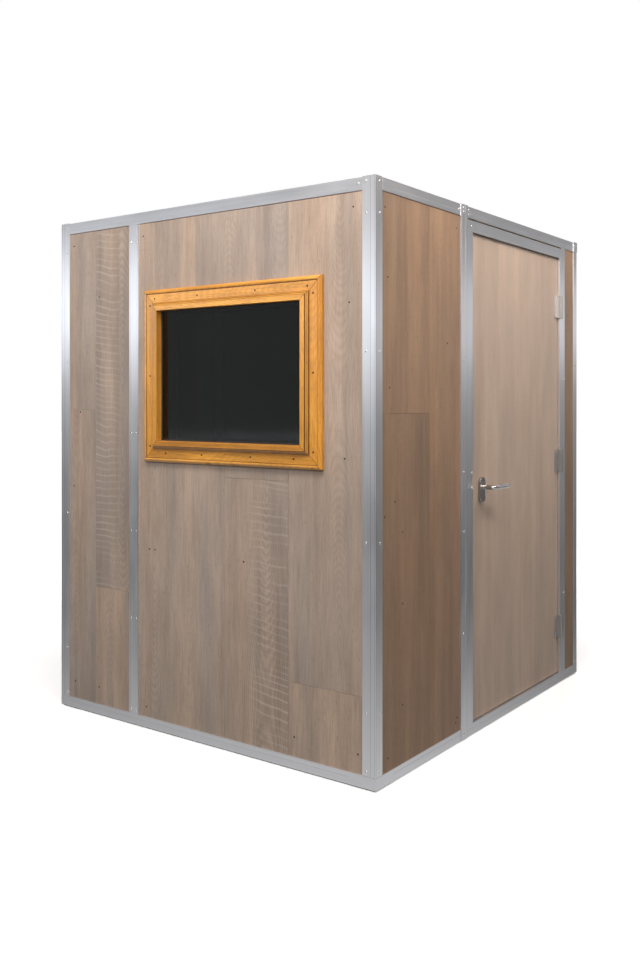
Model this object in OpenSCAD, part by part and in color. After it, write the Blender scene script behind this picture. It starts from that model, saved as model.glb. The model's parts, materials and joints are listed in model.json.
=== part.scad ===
// Modular acoustic telephone booth: aluminium profiles hold insulated board walls.
// Millimetres, +Z up. The origin is the centre of the footprint, on the floor.
// The window wall faces -Y and the door wall faces +X.

/* [Booth] */
// Width, along the window wall
booth_w = 1710; // [1570:5:2200]
// Depth, along the door wall
booth_d = 1895; // [1650:5:2400]
// Height above the floor
booth_h = 2200; // [2195:5:2700]
// Thickness of every wall, over the aluminium flanges
wall_t = 120; // [110:1:150]

/* [Boards] */
// Thickness of the outside cladding boards
cladding_t = 12; // [9:1:16]
// Thickness of the inside lining boards
lining_t = 12; // [9:1:16]
// Width of one cladding board
board_w = 324; // [250:1:400]
// Open seam between two cladding boards
seam_gap = 0.6; // [0.4:0.1:1.5]
// Width of the timber studs inside the walls
stud_w = 45; // [35:1:60]

/* [Aluminium profiles] */
// Wall of every profile
alu_t = 3; // [2.5:0.1:4]
// Corner flange seen on the window wall and the back wall
flange_front = 58; // [45:1:70]
// Corner flange seen on the door wall and the left wall
flange_side = 45; // [42:1:60]
// Height of the top rails
top_rail_h = 47; // [40:1:60]
// Height of the bottom rails
bottom_rail_h = 45; // [38:1:60]
// Width of the joint profile between two wall panels
joint_w = 57; // [45:1:70]
// Width of the profile on the lock side of the door frame
latch_post_w = 60; // [50:1:75]
// Width of the profile on the hinge side of the door frame
hinge_post_w = 44; // [38:1:55]
// Drop of the rails below the post tops
rail_drop = 3; // [2:0.5:5]
// How far the lock-side profile stands out over the rails
post_proud = 1.5; // [1:0.1:3]

/* [Window wall] */
// Seen width of the narrow panel
narrow_w = 389; // [300:1:450]
// Seen width of the window's casing opening
window_w = 750; // [500:1:780]
// Height of the window's casing opening
window_h = 542; // [400:1:700]
// Height of the window's centre above the floor
window_z = 1498; // [1400:1:1560]
// Window centre, measured from the middle of its panel
window_shift = -62; // [-70:1:0]
// Face width of the oak casing
casing_w = 90; // [70:1:92]
// How far the casing stands out from the cladding
casing_t = 32; // [24:1:36]
// Thickness of the flat casing inside the cabin
inner_casing_t = 16; // [10:1:22]
// Thickness of the liner boards in the window reveal
liner_t = 18; // [12:1:22]
// Thickness of each glass pane
glass_t = 6; // [4:1:8]
// Width of the black glazing seal
seal_w = 7; // [5:1:12]

/* [Door wall] */
// Seen width of the filler panel between the hinges and the back corner
filler_w = 112; // [80:1:160]
// Width of the door opening between the jamb faces
door_opening_w = 926; // [800:1:960]
// Height of the door opening above the threshold
door_opening_h = 2046; // [1950:1:2046]
// Face width of the lock-side jamb
latch_jamb_w = 50; // [40:1:60]
// Face width of the hinge-side jamb
hinge_jamb_w = 20; // [18:1:30]
// Face height of the door head
head_h = 47; // [38:1:48]
// Thickness of the door leaf
leaf_t = 50; // [42:1:52]
// Thickness of each door skin
leaf_skin_t = 8; // [6:1:12]
// Depth of the leaf's face behind the frame's face
leaf_recess = 12; // [8:1:16]
// Gap round the door leaf
leaf_gap = 3; // [2.5:0.5:4]
// Gap on the lock side, where the leaf swings past the jamb
latch_gap = 4; // [3.5:0.5:5]
// Width of the door stop behind the leaf
stop_w = 15; // [12:1:20]
// Thickness of the door seal
door_seal_t = 4; // [3:0.5:5]

/* [Handle and lock] */
// Height of the lever's spindle above the floor
handle_z = 1027; // [950:1:1080]
// Distance of the spindle from the lock-side edge of the leaf
backset = 88; // [60:1:100]
// Width of the handle's backplate
backplate_w = 47; // [44:1:60]
// Height of the handle's backplate
backplate_h = 108; // [95:1:130]
// Thickness of the handle's backplate
backplate_t = 12; // [8:1:15]
// Drop of the backplate's middle below the spindle
backplate_drop = 11; // [0:1:16]
// Diameter of the lever's neck
neck_d = 19; // [16:0.5:22]
// Reach of the lever's grip axis from the leaf's face
lever_reach = 66; // [50:1:70]
// Diameter of the lever's grip
grip_d = 20; // [18:0.5:22]
// Length of the grip from the spindle axis
grip_l = 137; // [110:1:150]
// Side of the square spindle
spindle_side = 8; // [7:0.5:9]
// Radial clearance of a turning shaft in its bore
running_fit = 0.06; // [0.02:0.01:0.1]
// Height of the latch bolt above the spindle
latch_rise = 35; // [30:1:40]
// How far the latch bolt stands out of the leaf's edge
latch_throw = 12; // [10:0.5:12]
// Height of the latch bolt
latch_h = 20; // [16:1:24]
// Thickness of the latch bolt
latch_t = 12; // [10:1:14]

/* [Hinges] */
// Height of each hinge
hinge_h = 110; // [90:1:130]
// Diameter of the hinge knuckle
knuckle_d = 15; // [13:0.5:18]
// Diameter of the hinge pin
hinge_pin_d = 8; // [6:0.5:9]
// Height of the lowest hinge's centre
hinge_z_low = 280; // [200:1:350]
// Drop of the top hinge's centre below the door head
hinge_top_drop = 242; // [200:1:300]

/* [Floor and roof] */
// Thickness of the rubber strips under the booth
strip_t = 6; // [5:1:12]
// Thickness of the floor deck
deck_t = 34; // [25:1:40]
// Thickness of the vinyl floor covering
floor_cover_t = 4; // [2:0.5:5]
// Thickness of the roof panel between its two skins
roof_core_t = 58; // [50:1:60]
// Thickness of the outside roof board
roof_board_t = 12; // [9:1:16]
// Thickness of the ceiling lining
ceiling_t = 12; // [9:1:13]
// Clearance round a panel that is lowered into the frame
panel_fit = 0.5; // [0.3:0.1:0.9]

/* [Hidden] */
$fn = 48;

aluminium = "silver";
oak_laminate = "rosybrown";
casing_oak = "goldenrod";
sheet_felt = "dimgray";
rubber_black = "#202020";
steel_satin = "gainsboro";

// Walls are drawn flat: u runs along the wall from its left end as seen from
// outside, v runs inwards from the outside face, z is height.
// Sides: 0 window wall, 1 door wall, 2 back wall, 3 left wall.
wall_len = [booth_w, booth_d, booth_w, booth_d];
wall_turn = [0, 90, 180, 270];
wall_start = [
  [-booth_w / 2, -booth_d / 2], [booth_w / 2, -booth_d / 2],
  [booth_w / 2, booth_d / 2], [-booth_w / 2, booth_d / 2]
];
eps = 1;                                  // overshoot of a cut
butt_gap = 0.1;                           // open joint between two butted lengths

// Heights
rail_bottom = strip_t;
rail_seat = rail_bottom + alu_t;          // panels stand on the bottom rail's web
rail_top = rail_bottom + bottom_rail_h;   // upper edge of the bottom rail's flange
head_rail_top = booth_h - rail_drop;
head_rail_bottom = head_rail_top - top_rail_h;
panel_top = head_rail_top - alu_t;        // panels end under the top rail's web
post_bottom = rail_top;                   // posts stand on cast corner feet
opening_bottom = rail_top;
opening_top = opening_bottom + door_opening_h;
head_top = opening_top + head_h;
floor_z = strip_t + deck_t;
roof_top = panel_top;
roof_core_top = roof_top - roof_board_t;
roof_core_bottom = roof_core_top - roof_core_t;
ceiling_z = roof_core_bottom - ceiling_t;

// Depths from the outside face
core_v = alu_t + cladding_t;              // cladding back face, stud front face
lining_v = wall_t - alu_t - lining_t;     // stud back face, lining front face
core_t = lining_v - core_v;
leaf_back = leaf_recess + leaf_t;
stop_v = leaf_back + door_seal_t;

// Corner post
nose_w = 30;                              // web that the cladding runs up to
web_w = 20;                               // box web of a joint profile
groove_w = 1.6;
groove_d = 0.8;

// Window wall stations
joint_u0 = flange_front + narrow_w;
joint_u1 = joint_u0 + joint_w;
joint_mid = (joint_u0 + joint_u1) / 2;
wide_u1 = booth_w - flange_front;
window_u = (joint_u1 + wide_u1) / 2 + window_shift;

// Door wall stations, counted from the back corner
filler_u1 = booth_d - flange_side;
filler_u0 = filler_u1 - filler_w;
hinge_post_u0 = filler_u0 - hinge_post_w;
opening_u1 = hinge_post_u0 - hinge_jamb_w;
opening_u0 = opening_u1 - door_opening_w;
latch_jamb_u0 = opening_u0 - latch_jamb_w;
latch_post_u0 = latch_jamb_u0 - latch_post_w;
post_web_w = 42;                          // web of the lock-side profile
hinge_web_w = 26;                         // web of the hinge-side profile

// Door leaf
leaf_u0 = opening_u0 + latch_gap;
leaf_u1 = opening_u1 - leaf_gap;
leaf_z0 = opening_bottom + leaf_gap;
leaf_z1 = opening_top - leaf_gap;
spindle_u = leaf_u0 + backset;
backplate_z = handle_z - backplate_drop;
latch_z = handle_z + latch_rise;
latch_v = leaf_recess + leaf_t / 2;       // middle of the leaf's thickness
latch_fit = 0.4;
lock_l = 120;                             // lock case, along the leaf
lock_h = 165;
lock_t = 22;
lock_wall = 2;
forend_t = 3;
latch_tail = 46;                          // length of bolt inside the case

// Hinges
knuckle_r = knuckle_d / 2;
hinge_u = (leaf_u1 + opening_u1) / 2;
hinge_v = -knuckle_r;
hinge_split = 0.42 * hinge_h;             // lower knuckle belongs to the frame
hinge_gap = 0.4;
hinge_clear = 0.8;                        // between the door's plate and the frame's knuckle
hinge_zs = [
  hinge_z_low, (hinge_z_low + opening_top - hinge_top_drop) / 2 + 30,
  opening_top - hinge_top_drop
];
hinge_plate_t = 3;
hinge_plate_w = 30;

// ------------------------------------------------------------------ helpers

// Stand a flat wall drawing up at its place in the booth.
module on_wall(side) {
  translate([wall_start[side][0], wall_start[side][1], 0])
    rotate([0, 0, wall_turn[side]]) children();
}

// A box from low to high values of u, v and z.
module block(u, v, z) {
  translate([u[0], v[0], z[0]]) cube([u[1] - u[0], v[1] - v[0], z[1] - z[0]]);
}

// A ring of four separate lengths round an opening, butted at the uprights.
module block_ring(u, z, w, v) {
  between = [u[0] + butt_gap, u[1] - butt_gap];
  block([u[0] - w, u[0]], v, [z[0] - w, z[1] + w]);
  block([u[1], u[1] + w], v, [z[0] - w, z[1] + w]);
  block(between, v, [z[0] - w, z[0]]);
  block(between, v, [z[1], z[1] + w]);
}

// Length-wise profile: a (v, z) drawing pushed along u.
module along_wall(u0, u1) {
  translate([u0, 0, 0]) rotate([90, 0, 90]) linear_extrude(u1 - u0) children();
}

// A cylinder whose axis runs into the wall.
module wall_pin(u, z, r, v0, v1) {
  translate([u, v0, z]) rotate([-90, 0, 0]) cylinder(r = r, h = v1 - v0);
}

// One cladding board, half a seam short on each side.
module board(u, z) {
  block([u[0] + seam_gap / 2, u[1] - seam_gap / 2], [alu_t, core_v],
        [z[0] + seam_gap / 2, z[1] - seam_gap / 2]);
}

// Boards side by side from u0 to u1, each board_w wide, the last one ripped.
module board_run(u0, u1) {
  count = ceil((u1 - u0) / board_w - 0.05);
  for (i = [0 : count - 1])
    board([u0 + i * board_w, i == count - 1 ? u1 : u0 + (i + 1) * board_w],
          [rail_seat, panel_top]);
}

// ------------------------------------------------------------ floor and roof

module isolation_strips() {
  color(rubber_black) {
    inset = 8;
    strip_w = wall_t - 2 * inset;
    side_start = inset + strip_w + butt_gap;
    for (s = [-1, 1]) {
      translate([-booth_w / 2 + inset, s * (booth_d / 2 - inset) - (s > 0 ? strip_w : 0), 0])
        cube([booth_w - 2 * inset, strip_w, strip_t]);
      translate([s * (booth_w / 2 - inset) - (s > 0 ? strip_w : 0),
                 -booth_d / 2 + side_start, 0])
        cube([strip_w, booth_d - 2 * side_start, strip_t]);
    }
    // Three strips under the deck, the middle one through the origin.
    for (x = [-1, 0, 1])
      translate([x * (booth_w - 2 * wall_t) / 3 - 40, -booth_d / 2 + wall_t + 20, 0])
        cube([80, booth_d - 2 * wall_t - 40, strip_t]);
  }
}

module floor_deck() {
  color("burlywood")
    translate([-booth_w / 2 + wall_t + panel_fit, -booth_d / 2 + wall_t + panel_fit, strip_t])
      cube([booth_w - 2 * (wall_t + panel_fit), booth_d - 2 * (wall_t + panel_fit), deck_t]);
}

module floor_covering() {
  color(sheet_felt)
    translate([-booth_w / 2 + wall_t + panel_fit, -booth_d / 2 + wall_t + panel_fit, floor_z])
      cube([booth_w - 2 * (wall_t + panel_fit), booth_d - 2 * (wall_t + panel_fit),
            floor_cover_t]);
}

roof_w = booth_w - 2 * (wall_t + alu_t + panel_fit);
roof_d = booth_d - 2 * (wall_t + alu_t + panel_fit);

module roof_slab(z0, t) {
  translate([-roof_w / 2, -roof_d / 2, z0]) cube([roof_w, roof_d, t]);
}

module roof_board() {
  color("gray") roof_slab(roof_core_top, roof_board_t);
}

light_d = 220;
light_hole_d = 170;
light_y = -180;
vent_y = 380;
vent_w = 320;
vent_l = 160;

module ceiling_lining() {
  color(sheet_felt) difference() {
    roof_slab(ceiling_z, ceiling_t);
    translate([0, light_y, ceiling_z - eps]) cylinder(d = light_hole_d, h = ceiling_t + 2 * eps);
    translate([-vent_w / 2 + 20, vent_y - vent_l / 2 + 20, ceiling_z - eps])
      cube([vent_w - 40, vent_l - 40, ceiling_t + 2 * eps]);
  }
}

// Angles screwed to the walls all round: the roof panel rests on them.
module roof_ledge() {
  ledge = 40;
  riser = 62;                             // reaches up behind the top rail
  color(aluminium) for (side = [0 : 3]) on_wall(side) {
    inset = wall_t + (side % 2 == 0 ? 0 : ledge + butt_gap);
    along_wall(inset, wall_len[side] - inset) translate([wall_t, ceiling_z - alu_t]) {
      square([ledge, alu_t]);
      square([alu_t, riser]);
    }
  }
}

module ceiling_light() {
  color("white") {
    translate([0, light_y, ceiling_z - 8]) cylinder(d = light_d, h = 8);
    translate([0, light_y, ceiling_z]) cylinder(d = light_hole_d - 2, h = ceiling_t - 2);
  }
}

module ceiling_vent() {
  slots = 7;
  color("lightgray") difference() {
    translate([-vent_w / 2, vent_y - vent_l / 2, ceiling_z - 4]) cube([vent_w, vent_l, 4]);
    for (i = [0 : slots - 1])
      translate([-vent_w / 2 + 30, vent_y + (i - (slots - 1) / 2) * 16 - 3, ceiling_z - 4 - eps])
        cube([vent_w - 60, 6, 4 + 2 * eps]);
  }
}

// ---------------------------------------------------------- aluminium frame

// Channel that holds the foot of a wall panel, drawn in (v, z).
module bottom_rail_shape() {
  difference() {
    translate([0, rail_bottom]) square([wall_t, bottom_rail_h]);
    translate([alu_t, rail_seat]) square([wall_t - 2 * alu_t, bottom_rail_h]);
    translate([-eps, rail_top - 18]) square([groove_d + eps, groove_w]);
  }
}

// The same channel turned over, for the panel's head.
module top_rail_shape() {
  difference() {
    translate([0, head_rail_bottom]) square([wall_t, top_rail_h]);
    translate([alu_t, head_rail_bottom - alu_t]) square([wall_t - 2 * alu_t, top_rail_h]);
    translate([-eps, head_rail_bottom + 17]) square([groove_d + eps, groove_w]);
  }
}

// A rail ends against the corner post's box, and its outside flange is cut back
// to the edge of the post's flange.
module rail_between(u0, u1, flange_u0, flange_u1, z) {
  difference() {
    along_wall(u0, u1) children();
    if (flange_u0 > u0) block([u0 - eps, flange_u0], [-eps, core_v], z);
    if (flange_u1 < u1) block([flange_u1, u1 + eps], [-eps, core_v], z);
  }
}

low_z = [rail_bottom - eps, rail_top + eps];
high_z = [head_rail_bottom - eps, head_rail_top + eps];

module whole_bottom_rail(side, flange) {
  on_wall(side)
    rail_between(wall_t, wall_len[side] - wall_t, flange, wall_len[side] - flange, low_z)
      bottom_rail_shape();
  on_wall(side) for (end = [0, 1])
    rail_tip(end == 0 ? [flange, wall_t] : [wall_len[side] - wall_t, wall_len[side] - flange],
             [rail_bottom, rail_top]);
}

// The outside flange runs on past the channel, over the post's box.
module rail_tip(u, z) {
  block(u, [0, alu_t], z);
}

module whole_top_rail(side, flange) {
  on_wall(side)
    rail_between(wall_t, wall_len[side] - wall_t, flange, wall_len[side] - flange, high_z)
      top_rail_shape();
  on_wall(side) for (end = [0, 1])
    rail_tip(end == 0 ? [flange, wall_t] : [wall_len[side] - wall_t, wall_len[side] - flange],
             [head_rail_bottom, head_rail_top]);
}

module bottom_rail_front() {
  color(aluminium) whole_bottom_rail(0, flange_front);
}

module bottom_rails_rear() {
  color(aluminium) {
    whole_bottom_rail(2, flange_front);
    whole_bottom_rail(3, flange_side);
  }
}

module bottom_rail_door_side() {
  color(aluminium) on_wall(1) {
    along_wall(wall_t, latch_post_u0) bottom_rail_shape();
    rail_tip([flange_side, wall_t], [rail_bottom, rail_top]);
    along_wall(hinge_post_u0, booth_d - wall_t) bottom_rail_shape();
    rail_tip([booth_d - wall_t, filler_u1], [rail_bottom, rail_top]);
  }
}

module top_rail_front() {
  color(aluminium) whole_top_rail(0, flange_front);
}

module top_rails_rear() {
  color(aluminium) {
    whole_top_rail(2, flange_front);
    whole_top_rail(3, flange_side);
  }
}

module top_rail_door_side() {
  color(aluminium) on_wall(1) {
    along_wall(wall_t, latch_post_u0) top_rail_shape();
    rail_tip([flange_side, wall_t], [head_rail_bottom, head_rail_top]);
    along_wall(latch_jamb_u0, booth_d - wall_t) top_rail_shape();
    rail_tip([booth_d - wall_t, filler_u1], [head_rail_bottom, head_rail_top]);
  }
}

// Corner extrusion: two cover flanges, two short webs and a square box.
module corner_post_shape(side_flange, front_flange) {
  square([front_flange, alu_t]);
  square([alu_t, side_flange]);
  translate([nose_w - alu_t, 0]) square([alu_t, core_v + eps]);
  translate([0, nose_w - alu_t]) square([core_v + eps, alu_t]);
  difference() {
    translate([core_v, core_v]) square(wall_t - core_v);
    translate([core_v + alu_t, core_v + alu_t]) square(wall_t - core_v - 2 * alu_t);
  }
}

// Where each corner sits, and which way its two flanges run.
module at_corner(x_side, y_side) {
  translate([x_side * booth_w / 2, y_side * booth_d / 2, 0])
    mirror([x_side > 0 ? 1 : 0, 0, 0]) mirror([0, y_side > 0 ? 1 : 0, 0]) children();
}

module corner_post(x_side, y_side) {
  color(aluminium) at_corner(x_side, y_side) translate([0, 0, post_bottom])
    linear_extrude(booth_h - post_bottom) corner_post_shape(flange_side, flange_front);
}

module corner_post_front_right() { corner_post(1, -1); }
module corner_post_front_left() { corner_post(-1, -1); }
module corner_post_back_right() { corner_post(1, 1); }
module corner_post_back_left() { corner_post(-1, 1); }

// Cast feet with the post's section: posts stand on them.
module corner_feet() {
  color(aluminium) for (x = [-1, 1]) for (y = [-1, 1]) at_corner(x, y)
    translate([0, 0, rail_bottom]) linear_extrude(bottom_rail_h - 0.4)
      corner_post_shape(flange_side, flange_front);
}

cap_t = 2;                                // sheet of the clip-on corner cap

// Lids in the posts' box sections, and an angle clipped over the head of the
// back corner nearest the door.
module post_caps() {
  cap_h = 50;
  box_inner = wall_t - core_v - 2 * alu_t;
  color(aluminium) {
    for (x = [-1, 1]) for (y = [-1, 1]) at_corner(x, y)
      translate([core_v + alu_t, core_v + alu_t, booth_h - 4])
        cube([box_inner, box_inner, 4]);
    on_wall(1) block([latch_jamb_u0 - post_web_w + alu_t, latch_jamb_u0 - alu_t],
                     [alu_t, wall_t - alu_t], [booth_h - 4, booth_h]);
    at_corner(1, 1) translate([0, 0, booth_h - cap_h]) linear_extrude(cap_h) {
      translate([-cap_t, -cap_t]) square([flange_front + cap_t, cap_t]);
      translate([-cap_t, -cap_t]) square([cap_t, flange_side + cap_t]);
    }
  }
}

// H-section between two wall panels: box web, cover flanges with two grooves.
module joint_profile(mid) {
  translate([mid - web_w / 2, alu_t, rail_seat]) difference() {
    cube([web_w, wall_t - 2 * alu_t, panel_top - rail_seat]);
    translate([alu_t, alu_t, -eps])
      cube([web_w - 2 * alu_t, wall_t - 4 * alu_t, panel_top - rail_seat + 2 * eps]);
  }
  difference() {
    block([mid - joint_w / 2, mid + joint_w / 2], [0, alu_t], [rail_top, head_rail_bottom]);
    for (s = [-1, 1])
      block([mid + s * 19 - groove_w / 2, mid + s * 19 + groove_w / 2], [-eps, groove_d],
            [rail_top - eps, head_rail_bottom + eps]);
  }
  block([mid - joint_w / 2, mid + joint_w / 2], [wall_t - alu_t, wall_t],
        [rail_top, head_rail_bottom]);
}

module joint_profile_front() {
  color(aluminium) on_wall(0) joint_profile(joint_mid);
}

back_joint = booth_w - joint_mid;
left_joint = booth_d / 2;

module joint_profiles_rear() {
  color(aluminium) {
    on_wall(2) joint_profile(back_joint);
    on_wall(3) joint_profile(left_joint);
  }
}

// Runs from the floor to the top, over the rails, and carries the door frame.
module door_post_latch() {
  color(aluminium) on_wall(1) translate([0, 0, rail_bottom])
    linear_extrude(booth_h - rail_bottom) difference() {
      union() {
        translate([latch_post_u0, -post_proud]) square([latch_post_w, alu_t + post_proud]);
        translate([latch_jamb_u0 - post_web_w, 0]) square([post_web_w, wall_t]);
      }
      translate([latch_jamb_u0 - post_web_w + alu_t, alu_t])
        square([post_web_w - 2 * alu_t, wall_t - 2 * alu_t]);
      for (s = [7, 42])
        translate([latch_post_u0 + s, -post_proud - eps]) square([groove_w, groove_d + eps]);
    }
}

module door_post_hinge() {
  color(aluminium) on_wall(1) {
    translate([hinge_post_u0, alu_t, rail_seat]) difference() {
      cube([hinge_web_w, wall_t - 2 * alu_t, panel_top - rail_seat]);
      translate([alu_t, alu_t, -eps])
        cube([hinge_web_w - 2 * alu_t, wall_t - 4 * alu_t, panel_top - rail_seat + 2 * eps]);
    }
    for (v = [[0, alu_t], [wall_t - alu_t, wall_t]])
      block([hinge_post_u0, filler_u0], v, [rail_top, head_rail_bottom]);
  }
}

// --------------------------------------------------------------- wall panels

panel_z = [rail_seat, panel_top];
narrow_u = [nose_w, joint_mid - web_w / 2];
wide_u = [joint_mid + web_w / 2, booth_w - nose_w];
door_panel_u = [nose_w, latch_jamb_u0 - post_web_w];
filler_u = [hinge_post_u0 + hinge_web_w, booth_d - nose_w];

// Heights at which two boards of a column butt end to end.
narrow_left_butt = 1353;
narrow_right_butt = 569;
below_window_butt = 1088;
wide_right_butt = 330;
door_side_butt = 1347;

module cladding_front_narrow() {
  left_board_w = 172;                     // width in view of the board by the corner
  seam = flange_front + left_board_w;
  color(oak_laminate) on_wall(0) {
    board([narrow_u[0], seam], [panel_z[0], narrow_left_butt]);
    board([narrow_u[0], seam], [narrow_left_butt, panel_z[1]]);
    board([seam, narrow_u[1]], [panel_z[0], narrow_right_butt]);
    board([seam, narrow_u[1]], [narrow_right_butt, panel_z[1]]);
  }
}

// Rough opening in the boards: the liner fits inside it.
rough_u = [window_u - window_w / 2 - liner_t, window_u + window_w / 2 + liner_t];
rough_z = [window_z - window_h / 2 - liner_t, window_z + window_h / 2 + liner_t];

module cladding_front_window() {
  // Seams below the window are one board apart; the boards above it are shifted.
  first_board_w = 162;                    // width in view of the board by the joint
  shift = 169.5;
  seam = [for (i = [0 : 2]) joint_u1 + first_board_w + i * board_w];
  upper = [seam[0] + shift, seam[1] + shift];
  head_butt = rough_z[1] - 132;           // ends beside the window, below its head
  color(oak_laminate) on_wall(0) difference() {
    union() {
      board([wide_u[0], seam[0]], [panel_z[0], head_butt]);
      board([seam[0], seam[1]], [panel_z[0], window_z]);
      board([seam[1], seam[2]], [panel_z[0], below_window_butt]);
      board([seam[1], seam[2]], [below_window_butt, window_z]);
      board([seam[2], wide_u[1]], [panel_z[0], wide_right_butt]);
      board([seam[2], wide_u[1]], [wide_right_butt, panel_z[1]]);
      board([wide_u[0], upper[0]], [head_butt, panel_z[1]]);
      board([upper[0], upper[1]], [window_z, panel_z[1]]);
      board([upper[1], seam[2]], [window_z, panel_z[1]]);
    }
    block(rough_u, [0, core_v + eps], rough_z);
    // The shifted boards start behind the window, so this corner is free.
    block([seam[0] - seam_gap / 2, rough_u[0] + eps], [0, core_v + eps], [window_z, head_butt]);
  }
}

module cladding_door_side() {
  corner_board_w = 345;                   // width in view of the board by the corner
  seam = flange_side + corner_board_w;
  color(oak_laminate) on_wall(1) {
    board([door_panel_u[0], seam], [panel_z[0], door_side_butt]);
    board([door_panel_u[0], seam], [door_side_butt, panel_z[1]]);
    board([seam, door_panel_u[1]], panel_z);
  }
}

module cladding_filler() {
  color(oak_laminate) on_wall(1) board(filler_u, panel_z);
}

module cladding_back() {
  color(oak_laminate) on_wall(2) {
    board_run(nose_w, back_joint - web_w / 2);
    board_run(back_joint + web_w / 2, booth_w - nose_w);
  }
}

module cladding_left() {
  color(oak_laminate) on_wall(3) {
    board_run(nose_w, left_joint - web_w / 2);
    board_run(left_joint + web_w / 2, booth_d - nose_w);
  }
}

// Stud frame of one panel: two uprights, a sole plate and a head plate.
module stud_frame(u) {
  v = [core_v, lining_v];
  for (edge = [u[0], u[1] - stud_w]) block([edge, edge + stud_w], v, panel_z);
  for (z = [panel_z[0], panel_z[1] - stud_w])
    block([u[0] + stud_w, u[1] - stud_w], v, [z, z + stud_w]);
}

narrow_core = [wall_t, joint_mid - web_w / 2];
wide_core = [joint_mid + web_w / 2, booth_w - wall_t];
door_core_u = [wall_t, latch_jamb_u0 - post_web_w];
back_core = [[wall_t, back_joint - web_w / 2], [back_joint + web_w / 2, booth_w - wall_t]];
left_core = [[wall_t, left_joint - web_w / 2], [left_joint + web_w / 2, booth_d - wall_t]];
over_door = [latch_jamb_u0, hinge_post_u0];
over_door_z = [head_top, panel_top];

module timber_frame() {
  color("burlywood") {
    on_wall(0) {
      stud_frame(narrow_core);
      stud_frame(wide_core);
      // Trimmers above and below the window liner.
      for (z = [rough_z[0] - stud_w, rough_z[1]])
        block([wide_core[0] + stud_w, wide_core[1] - stud_w], [core_v, lining_v],
              [z, z + stud_w]);
    }
    on_wall(1) {
      stud_frame(door_core_u);
      block(over_door, [core_v, lining_v], over_door_z);
      block([filler_u[0], booth_d - wall_t], [core_v, lining_v], panel_z);
    }
    for (u = back_core) on_wall(2) stud_frame(u);
    for (u = left_core) on_wall(3) stud_frame(u);
    roof_edge_frame();
  }
}

module roof_edge_frame() {
  for (s = [-1, 1]) {
    translate([-roof_w / 2, s > 0 ? roof_d / 2 - stud_w : -roof_d / 2, roof_core_bottom])
      cube([roof_w, stud_w, roof_core_t]);
    translate([s > 0 ? roof_w / 2 - stud_w : -roof_w / 2, -roof_d / 2 + stud_w,
               roof_core_bottom])
      cube([stud_w, roof_d - 2 * stud_w, roof_core_t]);
  }
}

// Mineral wool between the studs.
module wool(u, z) {
  block(u, [core_v, lining_v], z);
}

inner_z = [panel_z[0] + stud_w, panel_z[1] - stud_w];

module insulation() {
  wide_in = [wide_core[0] + stud_w, wide_core[1] - stud_w];
  color("khaki") {
    on_wall(0) {
      wool([narrow_core[0] + stud_w, narrow_core[1] - stud_w], inner_z);
      wool(wide_in, [inner_z[0], rough_z[0] - stud_w]);
      wool(wide_in, [rough_z[1] + stud_w, inner_z[1]]);
      wool([wide_in[0], rough_u[0]], rough_z);
      wool([rough_u[1], wide_in[1]], rough_z);
    }
    on_wall(1) wool([door_core_u[0] + stud_w, door_core_u[1] - stud_w], inner_z);
    for (u = back_core) on_wall(2) wool([u[0] + stud_w, u[1] - stud_w], inner_z);
    for (u = left_core) on_wall(3) wool([u[0] + stud_w, u[1] - stud_w], inner_z);
    translate([-roof_w / 2 + stud_w, -roof_d / 2 + stud_w, roof_core_bottom])
      cube([roof_w - 2 * stud_w, roof_d - 2 * stud_w, roof_core_t]);
  }
}

// Felt-faced boards inside the cabin, on every wall.
module lining(u, z) {
  block(u, [lining_v, wall_t - alu_t], z);
}

module wall_linings() {
  window_bay = [rough_u[0] + butt_gap, rough_u[1] - butt_gap];
  color(sheet_felt) {
    on_wall(0) {
      lining(narrow_core, panel_z);
      lining([wide_core[0], rough_u[0]], panel_z);
      lining([rough_u[1], wide_core[1]], panel_z);
      lining(window_bay, [panel_z[0], rough_z[0]]);
      lining(window_bay, [rough_z[1], panel_z[1]]);
    }
    on_wall(1) {
      lining(door_core_u, panel_z);
      lining(over_door, over_door_z);
      lining([filler_u[0], booth_d - wall_t], panel_z);
    }
    for (u = back_core) on_wall(2) lining(u, panel_z);
    for (u = left_core) on_wall(3) lining(u, panel_z);
  }
}

// ---------------------------------------------------------------- door frame

// A box extrusion standing up in the wall.
module jamb(u) {
  translate([u[0], 0, opening_bottom]) linear_extrude(door_opening_h) difference() {
    square([u[1] - u[0], wall_t]);
    translate([alu_t, alu_t]) square([u[1] - u[0] - 2 * alu_t, wall_t - 2 * alu_t]);
  }
}

strike_h = 40;
pocket_d = latch_throw - latch_gap + 3;   // room beyond the tip of the bolt
strike_t = 2;

// Notch for the latch bolt, open towards the outside so that the bolt can leave.
module strike_notch(grow) {
  block([opening_u0 - pocket_d - grow, opening_u0 + eps],
        [-eps, latch_v + latch_t / 2 + 2 + grow],
        [latch_z - strike_h / 2 - grow, latch_z + strike_h / 2 + grow]);
}

module door_frame_latch_jamb() {
  color(aluminium) on_wall(1) difference() {
    jamb([latch_jamb_u0, opening_u0]);
    strike_notch(strike_t);
  }
}

// Folded steel cup in the notch.
module strike_plate() {
  color(steel_satin) on_wall(1) difference() {
    block([opening_u0 - pocket_d - strike_t, opening_u0],
          [0, latch_v + latch_t / 2 + 2 + strike_t],
          [latch_z - strike_h / 2 - strike_t, latch_z + strike_h / 2 + strike_t]);
    strike_notch(0);
  }
}

module door_frame_hinge_jamb() {
  color(aluminium) on_wall(1) jamb([opening_u1, hinge_post_u0]);
}

module door_frame_head() {
  color(aluminium) on_wall(1) along_wall(latch_jamb_u0, hinge_post_u0) difference() {
    translate([0, opening_top]) square([wall_t, head_h]);
    translate([alu_t, opening_top + alu_t]) square([wall_t - 2 * alu_t, head_h - 2 * alu_t]);
  }
}

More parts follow.
